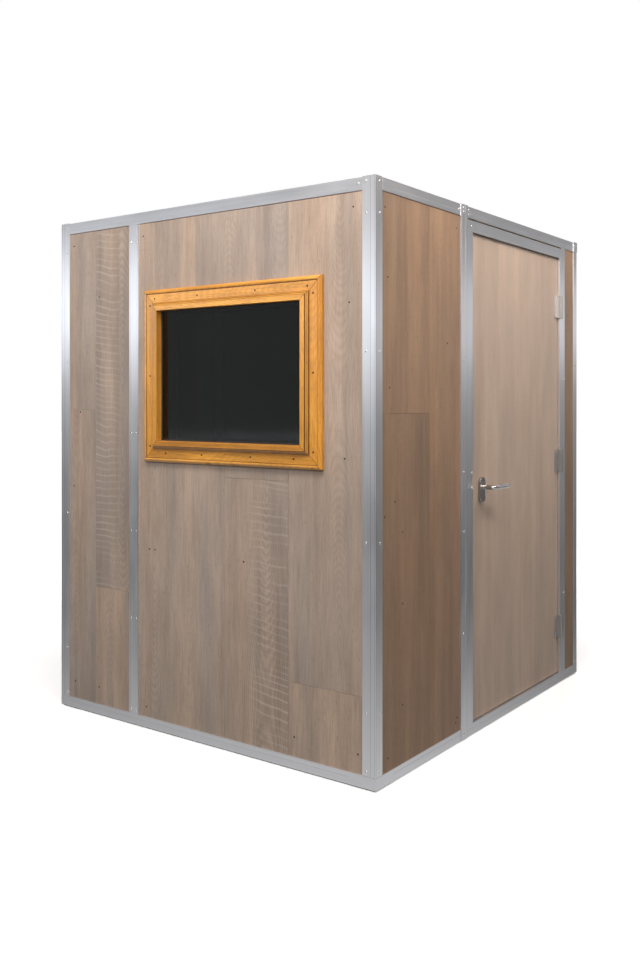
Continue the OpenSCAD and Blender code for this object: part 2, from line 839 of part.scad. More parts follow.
module door_threshold() {
  color(aluminium) on_wall(1) along_wall(latch_jamb_u0, hinge_post_u0) difference() {
    translate([0, rail_bottom]) square([wall_t, bottom_rail_h]);
    translate([alu_t, rail_seat]) square([wall_t - 2 * alu_t, bottom_rail_h - 2 * alu_t]);
    translate([-eps, rail_top - 18]) square([groove_d + eps, groove_w]);
  }
}

module door_stops() {
  color(aluminium) on_wall(1)
    block_ring([opening_u0 + stop_w, opening_u1 - stop_w],
               [opening_bottom + stop_w, opening_top - stop_w], stop_w, [stop_v, wall_t]);
}

// Soft strip on the stops; it just clears the closed leaf.
module door_seal() {
  inset = 2;
  strip = stop_w - inset - 1;
  reach = inset + strip;
  color(rubber_black) on_wall(1)
    block_ring([opening_u0 + reach, opening_u1 - reach],
               [opening_bottom + reach, opening_top - reach], strip,
               [leaf_back + 0.3, stop_v]);
}

// -------------------------------------------------------------------- window

module window_liner() {
  color(rubber_black) on_wall(0)
    block_ring([window_u - window_w / 2, window_u + window_w / 2],
               [window_z - window_h / 2, window_z + window_h / 2], liner_t,
               [alu_t, wall_t - alu_t]);
}

// Points on an arc, for the rounded parts of a moulding.
function arc(cx, cy, r, a0, a1, n) =
  [for (i = [0 : n]) let (a = a0 + (a1 - a0) * i / n) [cx + r * cos(a), cy + r * sin(a)]];

// Moulding section: x runs outwards from the opening, y out from the wall.
function moulding(w, t) = concat(
  [[0, 0], [0, t - 2]],
  arc(2, t - 2, 2, 180, 90, 3),
  [[0.24 * w, t], [0.25 * w, t - 2]],
  arc(0.25 * w + 6, t - 2, 6, 180, 270, 5),
  arc(0.25 * w + 6, t - 13, 5, 90, 0, 4),
  [[0.25 * w + 12, t - 16], [0.8 * w, t - 16]],
  arc(0.8 * w + 7, t - 18.5, 7, 150, 60, 4),
  [[w, t - 20], [w, 0]]
);

mitre_gap = 0.1;

// One mitred length of moulding, lying under an opening edge of length l.
module mitred_length(l, w, shape) {
  difference() {
    translate([-l / 2 - w, 0, 0]) rotate([90, 0, 90]) linear_extrude(l + 2 * w)
      mirror([1, 0]) rotate(-90) polygon(shape);
    for (s = [-1, 1]) translate([s * (l / 2 - mitre_gap), 0, 0]) rotate([0, -s * 45, 0])
      translate([s > 0 ? 0 : -3 * w, -3 * w, -3 * w]) cube([3 * w, 6 * w, 6 * w]);
  }
}

module casing_frame(w, shape) {
  sides = [[window_w, 0, window_h], [window_h, 90, window_w],
           [window_w, 180, window_h], [window_h, 270, window_w]];
  for (side = sides) rotate([0, side[1], 0]) translate([0, 0, -side[2] / 2])
    mitred_length(side[0], w, shape);
}

module window_casing_outside() {
  color(casing_oak) on_wall(0) translate([window_u, alu_t, window_z])
    casing_frame(casing_w, moulding(casing_w, casing_t));
}

module window_casing_inside() {
  w = 70;
  t = inner_casing_t;
  flat = [[0, 0], [0, t - 3], [3, t], [w - 6, t], [w, t - 6], [w, 0]];
  color(casing_oak) on_wall(0) translate([window_u, wall_t - alu_t, window_z])
    mirror([0, 1, 0]) casing_frame(w, flat);
}

pane_fit = 0.5;
pane_out_v = alu_t + 2;
pane_in_v = wall_t - 24;

module pane(v) {
  on_wall(0) block([window_u - window_w / 2 + pane_fit, window_u + window_w / 2 - pane_fit],
                   [v, v + glass_t],
                   [window_z - window_h / 2 + pane_fit, window_z + window_h / 2 - pane_fit]);
}

module window_pane_outside() {
  color("darkslategray", 0.6) pane(pane_out_v);
}

module window_pane_inside() {
  color("darkslategray", 0.6) pane(pane_in_v);
}

// Square gasket rings on both faces of each pane.
module glazing_seal() {
  color(rubber_black) on_wall(0)
    for (v = [pane_out_v - 4, pane_out_v + glass_t, pane_in_v - 4, pane_in_v + glass_t])
      block_ring([window_u - window_w / 2 + seal_w, window_u + window_w / 2 - seal_w],
                 [window_z - window_h / 2 + seal_w, window_z + window_h / 2 - seal_w],
                 seal_w, [v, v + 4]);
}

// -------------------------------------------------------------------- screws

screw_r = 4.5;
screw_head = 1.8;

// Pan head on the face of a wall, proud by screw_head; seat is the face's v.
module pan_head(u, z, seat) {
  wall_pin(u, z, screw_r, seat - screw_head, seat);
}

corner_rows = [67, 274, 885, booth_h - 629, booth_h - 134, booth_h - 20];
joint_rows = [70, 461, 835, booth_h - 944, booth_h - 125];

module frame_screws() {
  low = (rail_bottom + rail_top) / 2;
  high = (head_rail_bottom + head_rail_top) / 2;
  edge = 16;                              // from the flange's edge
  color(steel_satin) {
    for (side = [0 : 3]) on_wall(side) {
      flange = side % 2 == 0 ? flange_front : flange_side;
      for (z = corner_rows) {
        capped = z > booth_h - 50 ? -cap_t : 0;
        pan_head(flange - edge, z, side == 2 ? capped : 0);
        pan_head(wall_len[side] - flange + edge, z, side == 1 ? capped : 0);
      }
    }
    // Two rows on each joint profile.
    for (z = joint_rows) for (s = [-1, 1]) {
      on_wall(0) pan_head(joint_mid + s * 16, z, 0);
      on_wall(2) pan_head(back_joint + s * 16, z, 0);
      on_wall(3) pan_head(left_joint + s * 16, z, 0);
    }
    on_wall(0) pan_head(wide_u1 - edge, high, 0);
    on_wall(1) {
      for (z = [low, 440, 858, latch_z + 40, 1560, high - 4, high + 12])
        pan_head(latch_post_u0 + 26, z, -post_proud);
      for (z = [440, 1498]) pan_head(hinge_post_u0 + hinge_post_w - 12, z, 0);
      pan_head(latch_post_u0 - 12, high, 0);
      pan_head(latch_jamb_u0 + 14, high + 8, 0);
      pan_head(latch_jamb_u0 + 14, high - 10, 0);
      pan_head(opening_u0 - 12, opening_top + head_h / 2, 0);
      for (z = [latch_z - strike_h / 2 - 12, latch_z + strike_h / 2 + 12])
        pan_head(opening_u0 - 8, z, 0);
    }
  }
}

// Small dark heads that hold the cladding to the studs.
module cladding_screws() {
  head = 0.6;
  inset = 26;
  top = head_rail_bottom - 57;
  low = rail_top + 66;
  window_wall = [
    [flange_front + inset, top], [joint_u0 - 195, top - 241], [flange_front + 70, narrow_left_butt - 10],
    [flange_front + inset, 1008], [flange_front + inset + 10, low + 8],
    [joint_u0 - 195, low + 8], [joint_u1 + inset, top + 2], [joint_u1 + 64, 765],
    [joint_u1 + 98, 765], [joint_u1 + 46, low - 24], [joint_u1 + 588, 762],
    [wide_u1 - 309, low + 8], [wide_u1 - 20, low + 4], [wide_u1 - 40, top + 2],
    [wide_u1 - 58, 1751], [wide_u1 - 78, 1183]
  ];
  door_wall = [
    [flange_side + 22, top], [latch_post_u0 - 32, top], [flange_side + 41, top - 250],
    [latch_post_u0 - 107, 1623], [flange_side + 52, 1442], [flange_side + 89, 1024],
    [flange_side + 20, 974], [flange_side + 144, 908], [flange_side + 144, 642],
    [flange_side + 142, 268], [latch_post_u0 - 27, low - 9], [latch_post_u0 - 37, low - 28],
    [flange_side + 41, low - 18], [filler_u0 + 47, 1820], [filler_u0 + 60, 420]
  ];
  color("#3a3028") {
    on_wall(0) for (p = window_wall) wall_pin(p[0], p[1], 3.6, alu_t - head, alu_t);
    on_wall(1) for (p = door_wall) wall_pin(p[0], p[1], 3.6, alu_t - head, alu_t);
    for (side = [2, 3]) on_wall(side) for (end = [90, wall_len[side] - 90])
      for (z = [low, 760, 1420, top]) wall_pin(end, z, 3.6, alu_t - head, alu_t);
  }
}

module casing_screws() {
  seat = alu_t - (casing_t - 16);
  band = 0.58 * casing_w;                 // middle of the flat band
  half_w = window_w / 2 + band;
  half_h = window_h / 2 + band;
  across = [-400, -158, 147, 400];
  color("#554433") on_wall(0) {
    for (x = across) if (abs(x) < half_w) {
      wall_pin(window_u + x, window_z + half_h, 4, seat - 0.6, seat);
      wall_pin(window_u + 0.84 * x, window_z - half_h, 4, seat - 0.6, seat);
    }
    for (z = [-295, 0, 295]) for (s = [-1, 1])
      wall_pin(window_u + s * half_w, window_z + z * window_h / 542, 4, seat - 0.6, seat);
  }
}

// --------------------------------------------------------------- door leaf

leaf_u = [leaf_u0, leaf_u1];
leaf_z = [leaf_z0, leaf_z1];
core_vv = [leaf_recess + leaf_skin_t, leaf_back - leaf_skin_t];
bore_r = 12;                              // hole for the spindle through the leaf
lock_u0 = leaf_u0 + forend_t;
lock_z = [handle_z - 70, handle_z - 70 + lock_h];
lock_v = [latch_v - lock_t / 2, latch_v + lock_t / 2];

module door_skin_outside() {
  color("tan") on_wall(1) difference() {
    block(leaf_u, [leaf_recess, core_vv[0]], leaf_z);
    wall_pin(spindle_u, handle_z, bore_r, leaf_recess - eps, core_vv[0] + eps);
  }
}

module door_skin_inside() {
  color("tan") on_wall(1) difference() {
    block(leaf_u, [core_vv[1], leaf_back], leaf_z);
    wall_pin(spindle_u, handle_z, bore_r, core_vv[1] - eps, leaf_back + eps);
  }
}

module door_core() {
  color("khaki") on_wall(1) difference() {
    block(leaf_u, core_vv, leaf_z);
    wall_pin(spindle_u, handle_z, bore_r, core_vv[0] - eps, core_vv[1] + eps);
    block([lock_u0 - eps, lock_u0 + lock_l], lock_v, lock_z);
    block([leaf_u0 - eps, lock_u0], lock_v, [lock_z[0] - 30, lock_z[1] + 30]);
  }
}

// Mortise lock: case, forend in the leaf's edge, hollow for the bolt.
module lock_case() {
  color(steel_satin) on_wall(1) difference() {
    union() {
      block([lock_u0, lock_u0 + lock_l], lock_v, lock_z);
      block([leaf_u0, lock_u0], lock_v, [lock_z[0] - 30, lock_z[1] + 30]);
    }
    // Bolt tunnel, long enough for the bolt to be drawn right in.
    block([leaf_u0 - eps, leaf_u0 + latch_tail + latch_throw + 4],
          [latch_v - latch_t / 2 - latch_fit, latch_v + latch_t / 2 + latch_fit],
          [latch_z - latch_h / 2 - latch_fit, latch_z + latch_h / 2 + latch_fit]);
    wall_pin(spindle_u, handle_z, spindle_side / sqrt(2) + running_fit,
             lock_v[0] - eps, lock_v[1] + eps);
  }
}

// Stadium plate with a bore that the lever's neck turns in.
module backplate(v0, v1) {
  r = backplate_w / 2;
  half = backplate_h / 2 - r;
  difference() {
    union() {
      block([spindle_u - r, spindle_u + r], [v0, v1], [backplate_z - half, backplate_z + half]);
      for (s = [-1, 1]) wall_pin(spindle_u, backplate_z + s * half, r, v0, v1);
    }
    wall_pin(spindle_u, handle_z, neck_d / 2 + running_fit, v0 - eps, v1 + eps);
  }
}

module backplates() {
  color(steel_satin) on_wall(1) {
    backplate(leaf_recess - backplate_t, leaf_recess);
    backplate(leaf_back, leaf_back + backplate_t);
  }
}

// Neck, elbow and straight grip; v is the leaf face, out points away from it.
module lever(face_v, out) {
  neck_r = neck_d / 2;
  grip_r = grip_d / 2;
  axis_v = face_v + out * lever_reach;
  wall_pin(spindle_u, handle_z, neck_r, min(face_v, axis_v), max(face_v, axis_v));
  translate([spindle_u, axis_v, handle_z]) {
    sphere(r = neck_r);
    rotate([0, 90, 0]) cylinder(r = neck_r, h = 26);
    translate([26, 0, 0]) rotate([0, 90, 0]) cylinder(r = grip_r, h = grip_l - 26 - 3);
    translate([grip_l - 3, 0, 0]) rotate([0, 90, 0]) cylinder(r1 = grip_r, r2 = grip_r - 3, h = 3);
  }
}

module lever_outside() {
  color(steel_satin) on_wall(1) lever(leaf_recess, -1);
}

module lever_inside() {
  color(steel_satin) on_wall(1) lever(leaf_back, 1);
}

module lever_spindle() {
  color(steel_satin) on_wall(1) translate([spindle_u, (leaf_recess + leaf_back) / 2, handle_z])
    cube([spindle_side, leaf_t, spindle_side], center = true);
}

// The bolt's nose is bevelled on the side that meets the strike when closing.
module latch_bolt() {
  nose = latch_throw - 1;
  tip = leaf_u0 - latch_throw;
  color(steel_satin) on_wall(1)
    translate([0, 0, latch_z - latch_h / 2]) linear_extrude(latch_h) polygon([
      [leaf_u0 + latch_tail, latch_v - latch_t / 2], [leaf_u0 + latch_tail, latch_v + latch_t / 2],
      [tip + nose, latch_v + latch_t / 2], [tip, latch_v - latch_t / 2 + 3],
      [tip, latch_v - latch_t / 2]
    ]);
}

// -------------------------------------------------------------------- hinges

// Frame half: lower knuckle, pin, and a plate on the jamb and its profile.
module hinge_frame_halves() {
  color(steel_satin) on_wall(1) for (zc = hinge_zs) translate([0, 0, zc - hinge_h / 2]) {
    translate([hinge_u, hinge_v, 0]) {
      cylinder(r = knuckle_r, h = hinge_split);
      cylinder(d = hinge_pin_d, h = hinge_h - 8);
    }
    block([hinge_u, hinge_u + knuckle_r + 1.5], [-hinge_plate_t, 0], [0, hinge_split]);
    block([hinge_u + knuckle_r + 1.5, hinge_u + knuckle_r + 1.5 + hinge_plate_w],
          [-hinge_plate_t, 0], [0, hinge_h]);
  }
}

// Door half: upper knuckle, and a cranked plate down to the leaf's face.
module hinge_door_halves() {
  crank = hinge_u - knuckle_r - hinge_clear - hinge_plate_t;
  color(steel_satin) on_wall(1) for (zc = hinge_zs) translate([0, 0, zc - hinge_h / 2]) {
    difference() {
      union() {
        translate([hinge_u, hinge_v, hinge_split + hinge_gap])
          cylinder(r = knuckle_r, h = hinge_h - hinge_split - hinge_gap);
        block([crank, hinge_u], [hinge_v - hinge_plate_t / 2, hinge_v + hinge_plate_t / 2],
              [hinge_split + hinge_gap, hinge_h]);
      }
      translate([hinge_u, hinge_v, hinge_split])
        cylinder(d = hinge_pin_d + 2 * running_fit, h = hinge_h - hinge_split - 8 + 0.6);
    }
    block([crank, crank + hinge_plate_t], [hinge_v - hinge_plate_t / 2, leaf_recess],
          [0, hinge_h]);
    block([crank - hinge_plate_w + hinge_plate_t, crank],
          [leaf_recess - hinge_plate_t, leaf_recess], [0, hinge_h]);
  }
}

isolation_strips();
floor_deck();
floor_covering();
bottom_rail_front();
bottom_rail_door_side();
bottom_rails_rear();
top_rail_front();
top_rail_door_side();
top_rails_rear();
corner_post_front_right();
corner_post_front_left();
corner_post_back_right();
corner_post_back_left();
corner_feet();
post_caps();
joint_profile_front();
joint_profiles_rear();
door_post_latch();
door_post_hinge();
cladding_front_narrow();
cladding_front_window();
cladding_door_side();
cladding_filler();
cladding_back();
cladding_left();
timber_frame();
insulation();
wall_linings();
roof_board();
ceiling_lining();
roof_ledge();
ceiling_light();
ceiling_vent();
door_frame_head();
door_frame_latch_jamb();
door_frame_hinge_jamb();
door_threshold();
door_stops();
door_seal();
strike_plate();
hinge_frame_halves();
window_liner();
window_casing_outside();
window_casing_inside();
window_pane_outside();
window_pane_inside();
glazing_seal();
frame_screws();
cladding_screws();
casing_screws();
door_skin_outside();
door_core();
door_skin_inside();
lock_case();
backplates();
hinge_door_halves();
lever_outside();
lever_inside();
lever_spindle();
latch_bolt();
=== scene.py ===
# %% [markdown]
# # An acoustic phone booth, piece by piece
#
# The booth is a kit: aluminium profiles hold board panels, a window sits in one wall and a door in
# the next. The frame that this script loads already has every piece in its right place and size.
# What is left is the work of a finisher: break the sharp edges, choose the finishes, cut the screw
# recesses, bend the lever, and set up a small studio to look at the result.

# %% Load the frame
import json
import math
import random

import bmesh
import bpy
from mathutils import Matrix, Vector
from mathutils.bvhtree import BVHTree


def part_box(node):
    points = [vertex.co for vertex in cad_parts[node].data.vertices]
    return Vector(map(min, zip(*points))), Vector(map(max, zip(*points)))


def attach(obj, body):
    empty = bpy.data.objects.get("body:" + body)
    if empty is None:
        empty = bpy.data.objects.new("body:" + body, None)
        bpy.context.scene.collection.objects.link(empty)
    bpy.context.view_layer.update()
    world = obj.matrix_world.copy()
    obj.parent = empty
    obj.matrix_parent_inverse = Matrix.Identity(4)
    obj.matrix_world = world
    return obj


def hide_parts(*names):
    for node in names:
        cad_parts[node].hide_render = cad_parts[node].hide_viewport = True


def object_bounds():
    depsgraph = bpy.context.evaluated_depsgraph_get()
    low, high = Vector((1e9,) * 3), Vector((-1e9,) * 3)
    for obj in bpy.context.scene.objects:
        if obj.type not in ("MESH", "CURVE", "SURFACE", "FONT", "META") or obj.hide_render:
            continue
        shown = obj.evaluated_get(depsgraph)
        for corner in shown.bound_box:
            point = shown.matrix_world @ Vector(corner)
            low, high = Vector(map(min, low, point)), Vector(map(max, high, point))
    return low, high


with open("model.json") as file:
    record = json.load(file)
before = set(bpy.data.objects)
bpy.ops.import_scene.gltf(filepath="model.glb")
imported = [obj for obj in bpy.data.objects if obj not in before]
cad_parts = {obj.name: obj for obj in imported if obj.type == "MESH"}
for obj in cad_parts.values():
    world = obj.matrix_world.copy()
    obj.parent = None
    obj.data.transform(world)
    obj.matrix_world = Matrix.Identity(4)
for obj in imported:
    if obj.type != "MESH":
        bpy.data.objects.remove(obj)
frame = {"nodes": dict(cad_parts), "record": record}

MM = 0.001
cad_low, cad_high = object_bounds()
size = cad_high - cad_low
print(f"booth: {size.x:.3f} wide, {size.y:.3f} deep and {size.z:.3f} high, in metres")

# %% [markdown]
# ## A mesh for each piece
#
# A solid from a CAD program has edges sharper than any saw leaves, and a sharp edge catches no
# light. One could add a bevel modifier to every piece, or model each one again by hand. Here each
# solid is copied, its triangles are merged into whole flat faces, and its real corners are
# rounded by a given radius. The copy stays exactly where the solid was, a hair smaller.

# %% Copy a solid and ease its edges
WELD = 0.002 * MM
FLAT = math.radians(0.4)
CORNER = math.radians(32)
FULLNESS = 0.6


def solid_mesh(node):
    """The node's solid with whole flat faces in place of triangles."""
    mesh = bmesh.new()
    mesh.from_mesh(frame["nodes"][node].data)
    bmesh.ops.remove_doubles(mesh, verts=mesh.verts, dist=WELD)
    bmesh.ops.dissolve_limit(mesh, angle_limit=FLAT, verts=mesh.verts, edges=mesh.edges)
    return mesh


def ease(mesh, radius, steps=2):
    """Rounds every corner edge of a mesh."""
    corners = [e for e in mesh.edges if e.is_manifold and e.calc_face_angle(0) > CORNER]
    bmesh.ops.bevel(mesh, geom=corners, offset=radius, segments=steps, profile=FULLNESS,
                    affect="EDGES", clamp_overlap=True)


print(f"corners sharper than {math.degrees(CORNER):.0f} degrees are rounded")

# %% [markdown]
# ## From a mesh to a finished piece
#
# Smooth shading averages the directions of neighbouring faces, and beside a narrow rounding that
# makes a wide flat face look dented. A weighted-normal modifier would mend it, but the modifier
# would have to be applied before export. So the directions are worked out here: large faces count
# for more than small ones, and faces that meet at a real corner don't count for each other.

# %% Shade it steadily and put it in place
SMOOTH_UP_TO = math.radians(38)
BODY_OF = {}
for body_name, members in frame["record"]["behaviour"]["bodies"].items():
    for member in members:
        BODY_OF[member] = body_name


def steady_normals(data):
    """Shading directions in which wide faces stay flat and only the rounding bends."""
    faces = data.polygons
    around = [[] for _ in data.vertices]
    for face in faces:
        for vertex in face.vertices:
            around[vertex].append(face.index)
    facing = [face.normal.copy() for face in faces]
    weighed = [face.normal * face.area for face in faces]
    least = math.cos(SMOOTH_UP_TO)
    normals = []
    for face in faces:
        own = facing[face.index]
        for vertex in face.vertices:
            total = Vector((0, 0, 0))
            for other in around[vertex]:
                if facing[other].dot(own) > least:
                    total += weighed[other]
            normals.append(total.normalized())
    data.normals_split_custom_set(normals)


def as_piece(mesh, name, materials):
    """Makes an object of a mesh, smooth on its curves and crisp at its corners."""
    data = bpy.data.meshes.new(name)
    mesh.to_mesh(data)
    mesh.free()
    data.polygons.foreach_set("use_smooth", [True] * len(data.polygons))
    steady_normals(data)
    for material in materials:
        data.materials.append(material)
    piece = bpy.data.objects.new(name, data)
    bpy.context.scene.collection.objects.link(piece)
    return piece


def stand_for(piece, node):
    """Puts a piece in a node's place, on the same moving body."""
    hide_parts(node)
    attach(piece, BODY_OF[node])
    return piece


# %% [markdown]
# ## Which way the grain runs
#
# Wood grain, and the fine lines that a die leaves on an extrusion, follow the length of each
# piece. A texture laid over the whole booth would run straight through every joint, and that is
# what gives a model away. So each loose part writes two small records into its own mesh: where a
# point lies across and along the part, and the part's own character. The materials read these.

# %% Find the loose parts and record their direction
def loose_parts(mesh):
    """Lists of vertices, one for each separate solid of a mesh."""
    waiting = set(mesh.verts)
    parts = []
    for first in mesh.verts:
        if first not in waiting:
            continue
        waiting.discard(first)
        part, edge_of_search = [], [first]
        while edge_of_search:
            vert = edge_of_search.pop()
            part.append(vert)
            for edge in vert.link_edges:
                other = edge.other_vert(vert)
                if other in waiting:
                    waiting.discard(other)
                    edge_of_search.append(other)
        parts.append(part)
    return parts


def box_of(part):
    """Lowest and highest corner of some vertices."""
    low = Vector([min(v.co[axis] for v in part) for axis in range(3)])
    high = Vector([max(v.co[axis] for v in part) for axis in range(3)])
    return low, high


def record_grain(mesh, name, character, upright=False):
    """Writes where each point lies in its part, and what the part is like."""
    grain = mesh.verts.layers.float_vector.new("grain")
    board = mesh.verts.layers.float_vector.new("board")
    for number, part in enumerate(loose_parts(mesh)):
        low, high = box_of(part)
        thin, across, along = sorted(range(3), key=lambda axis: high[axis] - low[axis])
        if upright:
            thin, across = sorted((0, 1), key=lambda axis: high[axis] - low[axis])
            along = 2
        middle = (low + high) / 2
        chance = random.Random(f"{name} {number}")
        seed = chance.uniform(0, 60)
        kind = character(low, high, chance)
        for v in part:
            side = v.co - middle
            v[grain] = (side[across] + side[thin], v.co[along], seed)
            v[board] = kind


def plain_part(low, high, chance):
    """Tone, saw marks and figure of a part with nothing special about it."""
    return (chance.uniform(0.2, 0.8), 0.0, chance.uniform(0.2, 0.7))


print("grain runs along the longest side of a part, and upright on the walls")

# %% [markdown]
# ## Distances that draw fine lines
#
# The grooves of a profile and the cuts of a moulding are finer than the frame's own steps, and so is
# the shadow that the top rail casts on the boards. They could be modelled, but thousands of thin faces
# would be spent on lines a millimetre wide. Each point notes how far it lies from an edge instead, and
# a material paints the shade in a groove or the rail's shadow as a dark line wherever that distance
# has the right value.

# %% Measure from an edge and finish a node
def from_outer_edge(co, low, high):
    """How far a point of an upright frame lies inside the frame's outer edge."""
    return min(co.x - low.x, high.x - co.x, co.z - low.z, high.z - co.z)


def below_top(co, low, high):
    """How far a point lies below the top."""
    return high.z - co.z


def from_corner(co, low, high):
    """How far a point on an upright profile's face lies from the nearest corner."""
    return max(min(co.x - low.x, high.x - co.x), min(co.y - low.y, high.y - co.y))


def record_rim(mesh, measure, part_by_part):
    """Writes a distance at every point, measured on each part or on the whole mesh."""
    # Points found before a layer is added are lost with it, so the parts come second.
    rim = mesh.verts.layers.float.new("rim")
    for part in loose_parts(mesh) if part_by_part else [list(mesh.verts)]:
        low, high = box_of(part)
        for v in part:
            v[rim] = measure(v.co, low, high)


def eased(node, radius, slot, character=plain_part, steps=2, upright=False, record=None):
    """The usual way to finish a node: copy, ease, record, put in place."""
    mesh = solid_mesh(node)
    ease(mesh, radius, steps)
    record_grain(mesh, node, character, upright)
    if record:
        record(mesh)
    return stand_for(as_piece(mesh, node + "_finished", [FINISH[slot]]), node)


print("three ways to measure from an edge")

# %% [markdown]
# ## Small helpers for materials
#
# A material in Blender is a graph of nodes. Built by hand in the editor it is easy to see but hard
# to repeat, so these helpers add one node at a time and join it up in the same breath. The rest of
# the script can then read like a recipe.

# %% Add nodes in one line each
def add(tree, kind, settings, inputs):
    """A new node. An input is joined when it is given a socket, and set otherwise."""
    made = tree.nodes.new(kind)
    for name, value in settings.items():
        setattr(made, name, value)
    for name, value in inputs.items():
        if isinstance(value, bpy.types.NodeSocket):
            tree.links.new(value, made.inputs[name])
        else:
            made.inputs[name].default_value = value
    return made


def calc(tree, operation, a, b=0.0):
    """One step of arithmetic."""
    return add(tree, "ShaderNodeMath", {"operation": operation}, {0: a, 1: b}).outputs[0]


def stretched(tree, vector, scale):
    """The same place, counted finer or coarser on each axis."""
    settings = {"operation": "MULTIPLY"}
    return add(tree, "ShaderNodeVectorMath", settings, {0: vector, 1: scale}).outputs[0]


def noise(tree, vector, scale=1.0, detail=2.0, roughness=0.5):
    """Soft cloudy noise from 0 to 1."""
    inputs = {"Vector": vector, "Scale": scale, "Detail": detail, "Roughness": roughness}
    return add(tree, "ShaderNodeTexNoise", {}, inputs).outputs["Fac"]


def span(tree, value, low, high, to_low=0.0, to_high=1.0):
    """Stretches a range of values onto another one and stops at its ends."""
    inputs = {"Value": value, "From Min": low, "From Max": high,
              "To Min": to_low, "To Max": to_high}
    return add(tree, "ShaderNodeMapRange", {"clamp": True}, inputs).outputs["Result"]


def blend_colours(tree, amount, a, b, way="MIX"):
    """Two colours, mixed or multiplied."""
    settings = {"data_type": "RGBA", "blend_type": way}
    return add(tree, "ShaderNodeMix", settings, {0: amount, 6: a, 7: b}).outputs[2]


def raised(tree, height, strength, distance):
    """Relief too fine to model, as a change of the surface's direction."""
    inputs = {"Height": height, "Strength": strength, "Distance": distance}
    return add(tree, "ShaderNodeBump", {}, inputs).outputs["Normal"]


def colour(red, green, blue):
    """A colour from 0 to 255 as seen on a screen, as the light it stands for."""
    linear = []
    for part in (red, green, blue):
        share = part / 255
        linear.append(share / 12.92 if share <= 0.04045 else ((share + 0.055) / 1.055) ** 2.4)
    return (*linear, 1.0)


def new_material(name):
    """An empty node material with its shader, and the tree to add to."""
    material = bpy.data.materials.new(name)
    material.use_nodes = True
    tree = material.node_tree
    shader = tree.nodes["Principled BSDF"]
    return material, tree, shader


def recorded(tree, name):
    """What record_grain wrote, as a vector and as its three numbers."""
    vector = add(tree, "ShaderNodeAttribute", {"attribute_name": name}, {}).outputs["Vector"]
    parts = add(tree, "ShaderNodeSeparateXYZ", {}, {0: vector}).outputs
    return vector, parts[0], parts[1], parts[2]


WHITE = (1.0, 1.0, 1.0, 1.0)
FINISH = {}
print(f"mid grey on a screen stands for {colour(128, 128, 128)[0]:.2f} of the light")

# %% [markdown]
# ## Oak in four colours
#
# The cladding is oak-faced board with a greyed matt lacquer on the window wall, browner beside the
# door, paler on the door leaf, and golden varnish on the window casing. All four are the same
# wood: broad bands where the veneer changes, long fibres, short dark pores, and the arched figure
# of a board sawn through the growth rings. The rings are worked out as real rings are: circles
# round a pith that runs nearly, but not quite, along the board. One recipe makes all four, and
# only the tones and the lacquer differ. Some boards still show the saw's teeth as pale bars.

# %% Growth rings and saw bars
RING = 5.5 * MM
PITH_OFFSET = 50 * MM
PITH_DEPTH = 70 * MM
ARCH_HEIGHT = 60 * MM
ARCHES_PER_M = 3.1
RING_WANDER = 35 * MM
SAW_STEP = 29 * MM
SAW_DRIFT = 220 * MM
SAW_BEND = 50 * MM
SAW_SLANT = 0.12
SAW_SHARPNESS = 5.0


def growth_rings(tree, across, along, seed, wander):
    """Dark to light with each year's growth, arched where the saw met the rings."""
    luck = calc(tree, "SINE", calc(tree, "MULTIPLY", seed, 7.1))
    sideways = calc(tree, "SUBTRACT", across, calc(tree, "MULTIPLY", luck, PITH_OFFSET))
    rise = calc(tree, "ADD", calc(tree, "MULTIPLY", along, ARCHES_PER_M), seed)
    arch = calc(tree, "MULTIPLY", calc(tree, "SINE", rise), ARCH_HEIGHT)
    depth = calc(tree, "ADD", arch, PITH_DEPTH)
    squares = calc(tree, "ADD", calc(tree, "MULTIPLY", sideways, sideways),
                   calc(tree, "MULTIPLY", depth, depth))
    waver = calc(tree, "MULTIPLY", wander, RING_WANDER)
    reach = calc(tree, "ADD", calc(tree, "SQRT", squares), waver)
    turn = calc(tree, "MULTIPLY", reach, 2 * math.pi / RING)
    return span(tree, calc(tree, "SINE", turn), -1.0, 1.0)


def saw_bars(tree, place, across, along, marks):
    """Pale bars across the grain, unevenly spaced, on one side of a board."""
    drift = noise(tree, stretched(tree, place, (1.0, 2.2, 1.0)), detail=1.0)
    bend = noise(tree, stretched(tree, place, (7.0, 1.0, 1.0)), detail=2.0)
    where = calc(tree, "ADD", along, calc(tree, "MULTIPLY", drift, SAW_DRIFT))
    where = calc(tree, "ADD", where, calc(tree, "MULTIPLY", bend, SAW_BEND))
    where = calc(tree, "ADD", where, calc(tree, "MULTIPLY", across, SAW_SLANT))
    wave = calc(tree, "SINE", calc(tree, "MULTIPLY", where, 2 * math.pi / SAW_STEP))
    bar = calc(tree, "POWER", span(tree, wave, -0.4, 1.0), SAW_SHARPNESS)
    patch = noise(tree, stretched(tree, place, (5.0, 13.0, 1.0)), detail=3.0)
    side = span(tree, calc(tree, "MULTIPLY", across, marks), -0.06, 0.03)
    shown = calc(tree, "MULTIPLY", side, span(tree, patch, 0.30, 0.62))
    shown = calc(tree, "MULTIPLY", shown, calc(tree, "ABSOLUTE", marks))
    return calc(tree, "MULTIPLY", bar, shown)


print(f"a ring every {RING / MM} mm, a saw bar every {SAW_STEP / MM:.0f} mm")

# %% [markdown]
# ## Lines from distances
#
# These two read the distances that were written into the meshes: one draws the dark mitre joints,
# the other the lines of painted shade in grooves and cuts and under the top rail. A line is dark at
# its middle and fades out to both sides, so that it stays soft when it is thinner than what the lens
# resolves.

# %% Draw lines of painted shade and mitres
# Half width of each painted shade line in wood, and of each dark mitre line.
CUT_WIDTH = 1.9 * MM
LINE_CORE = 0.3


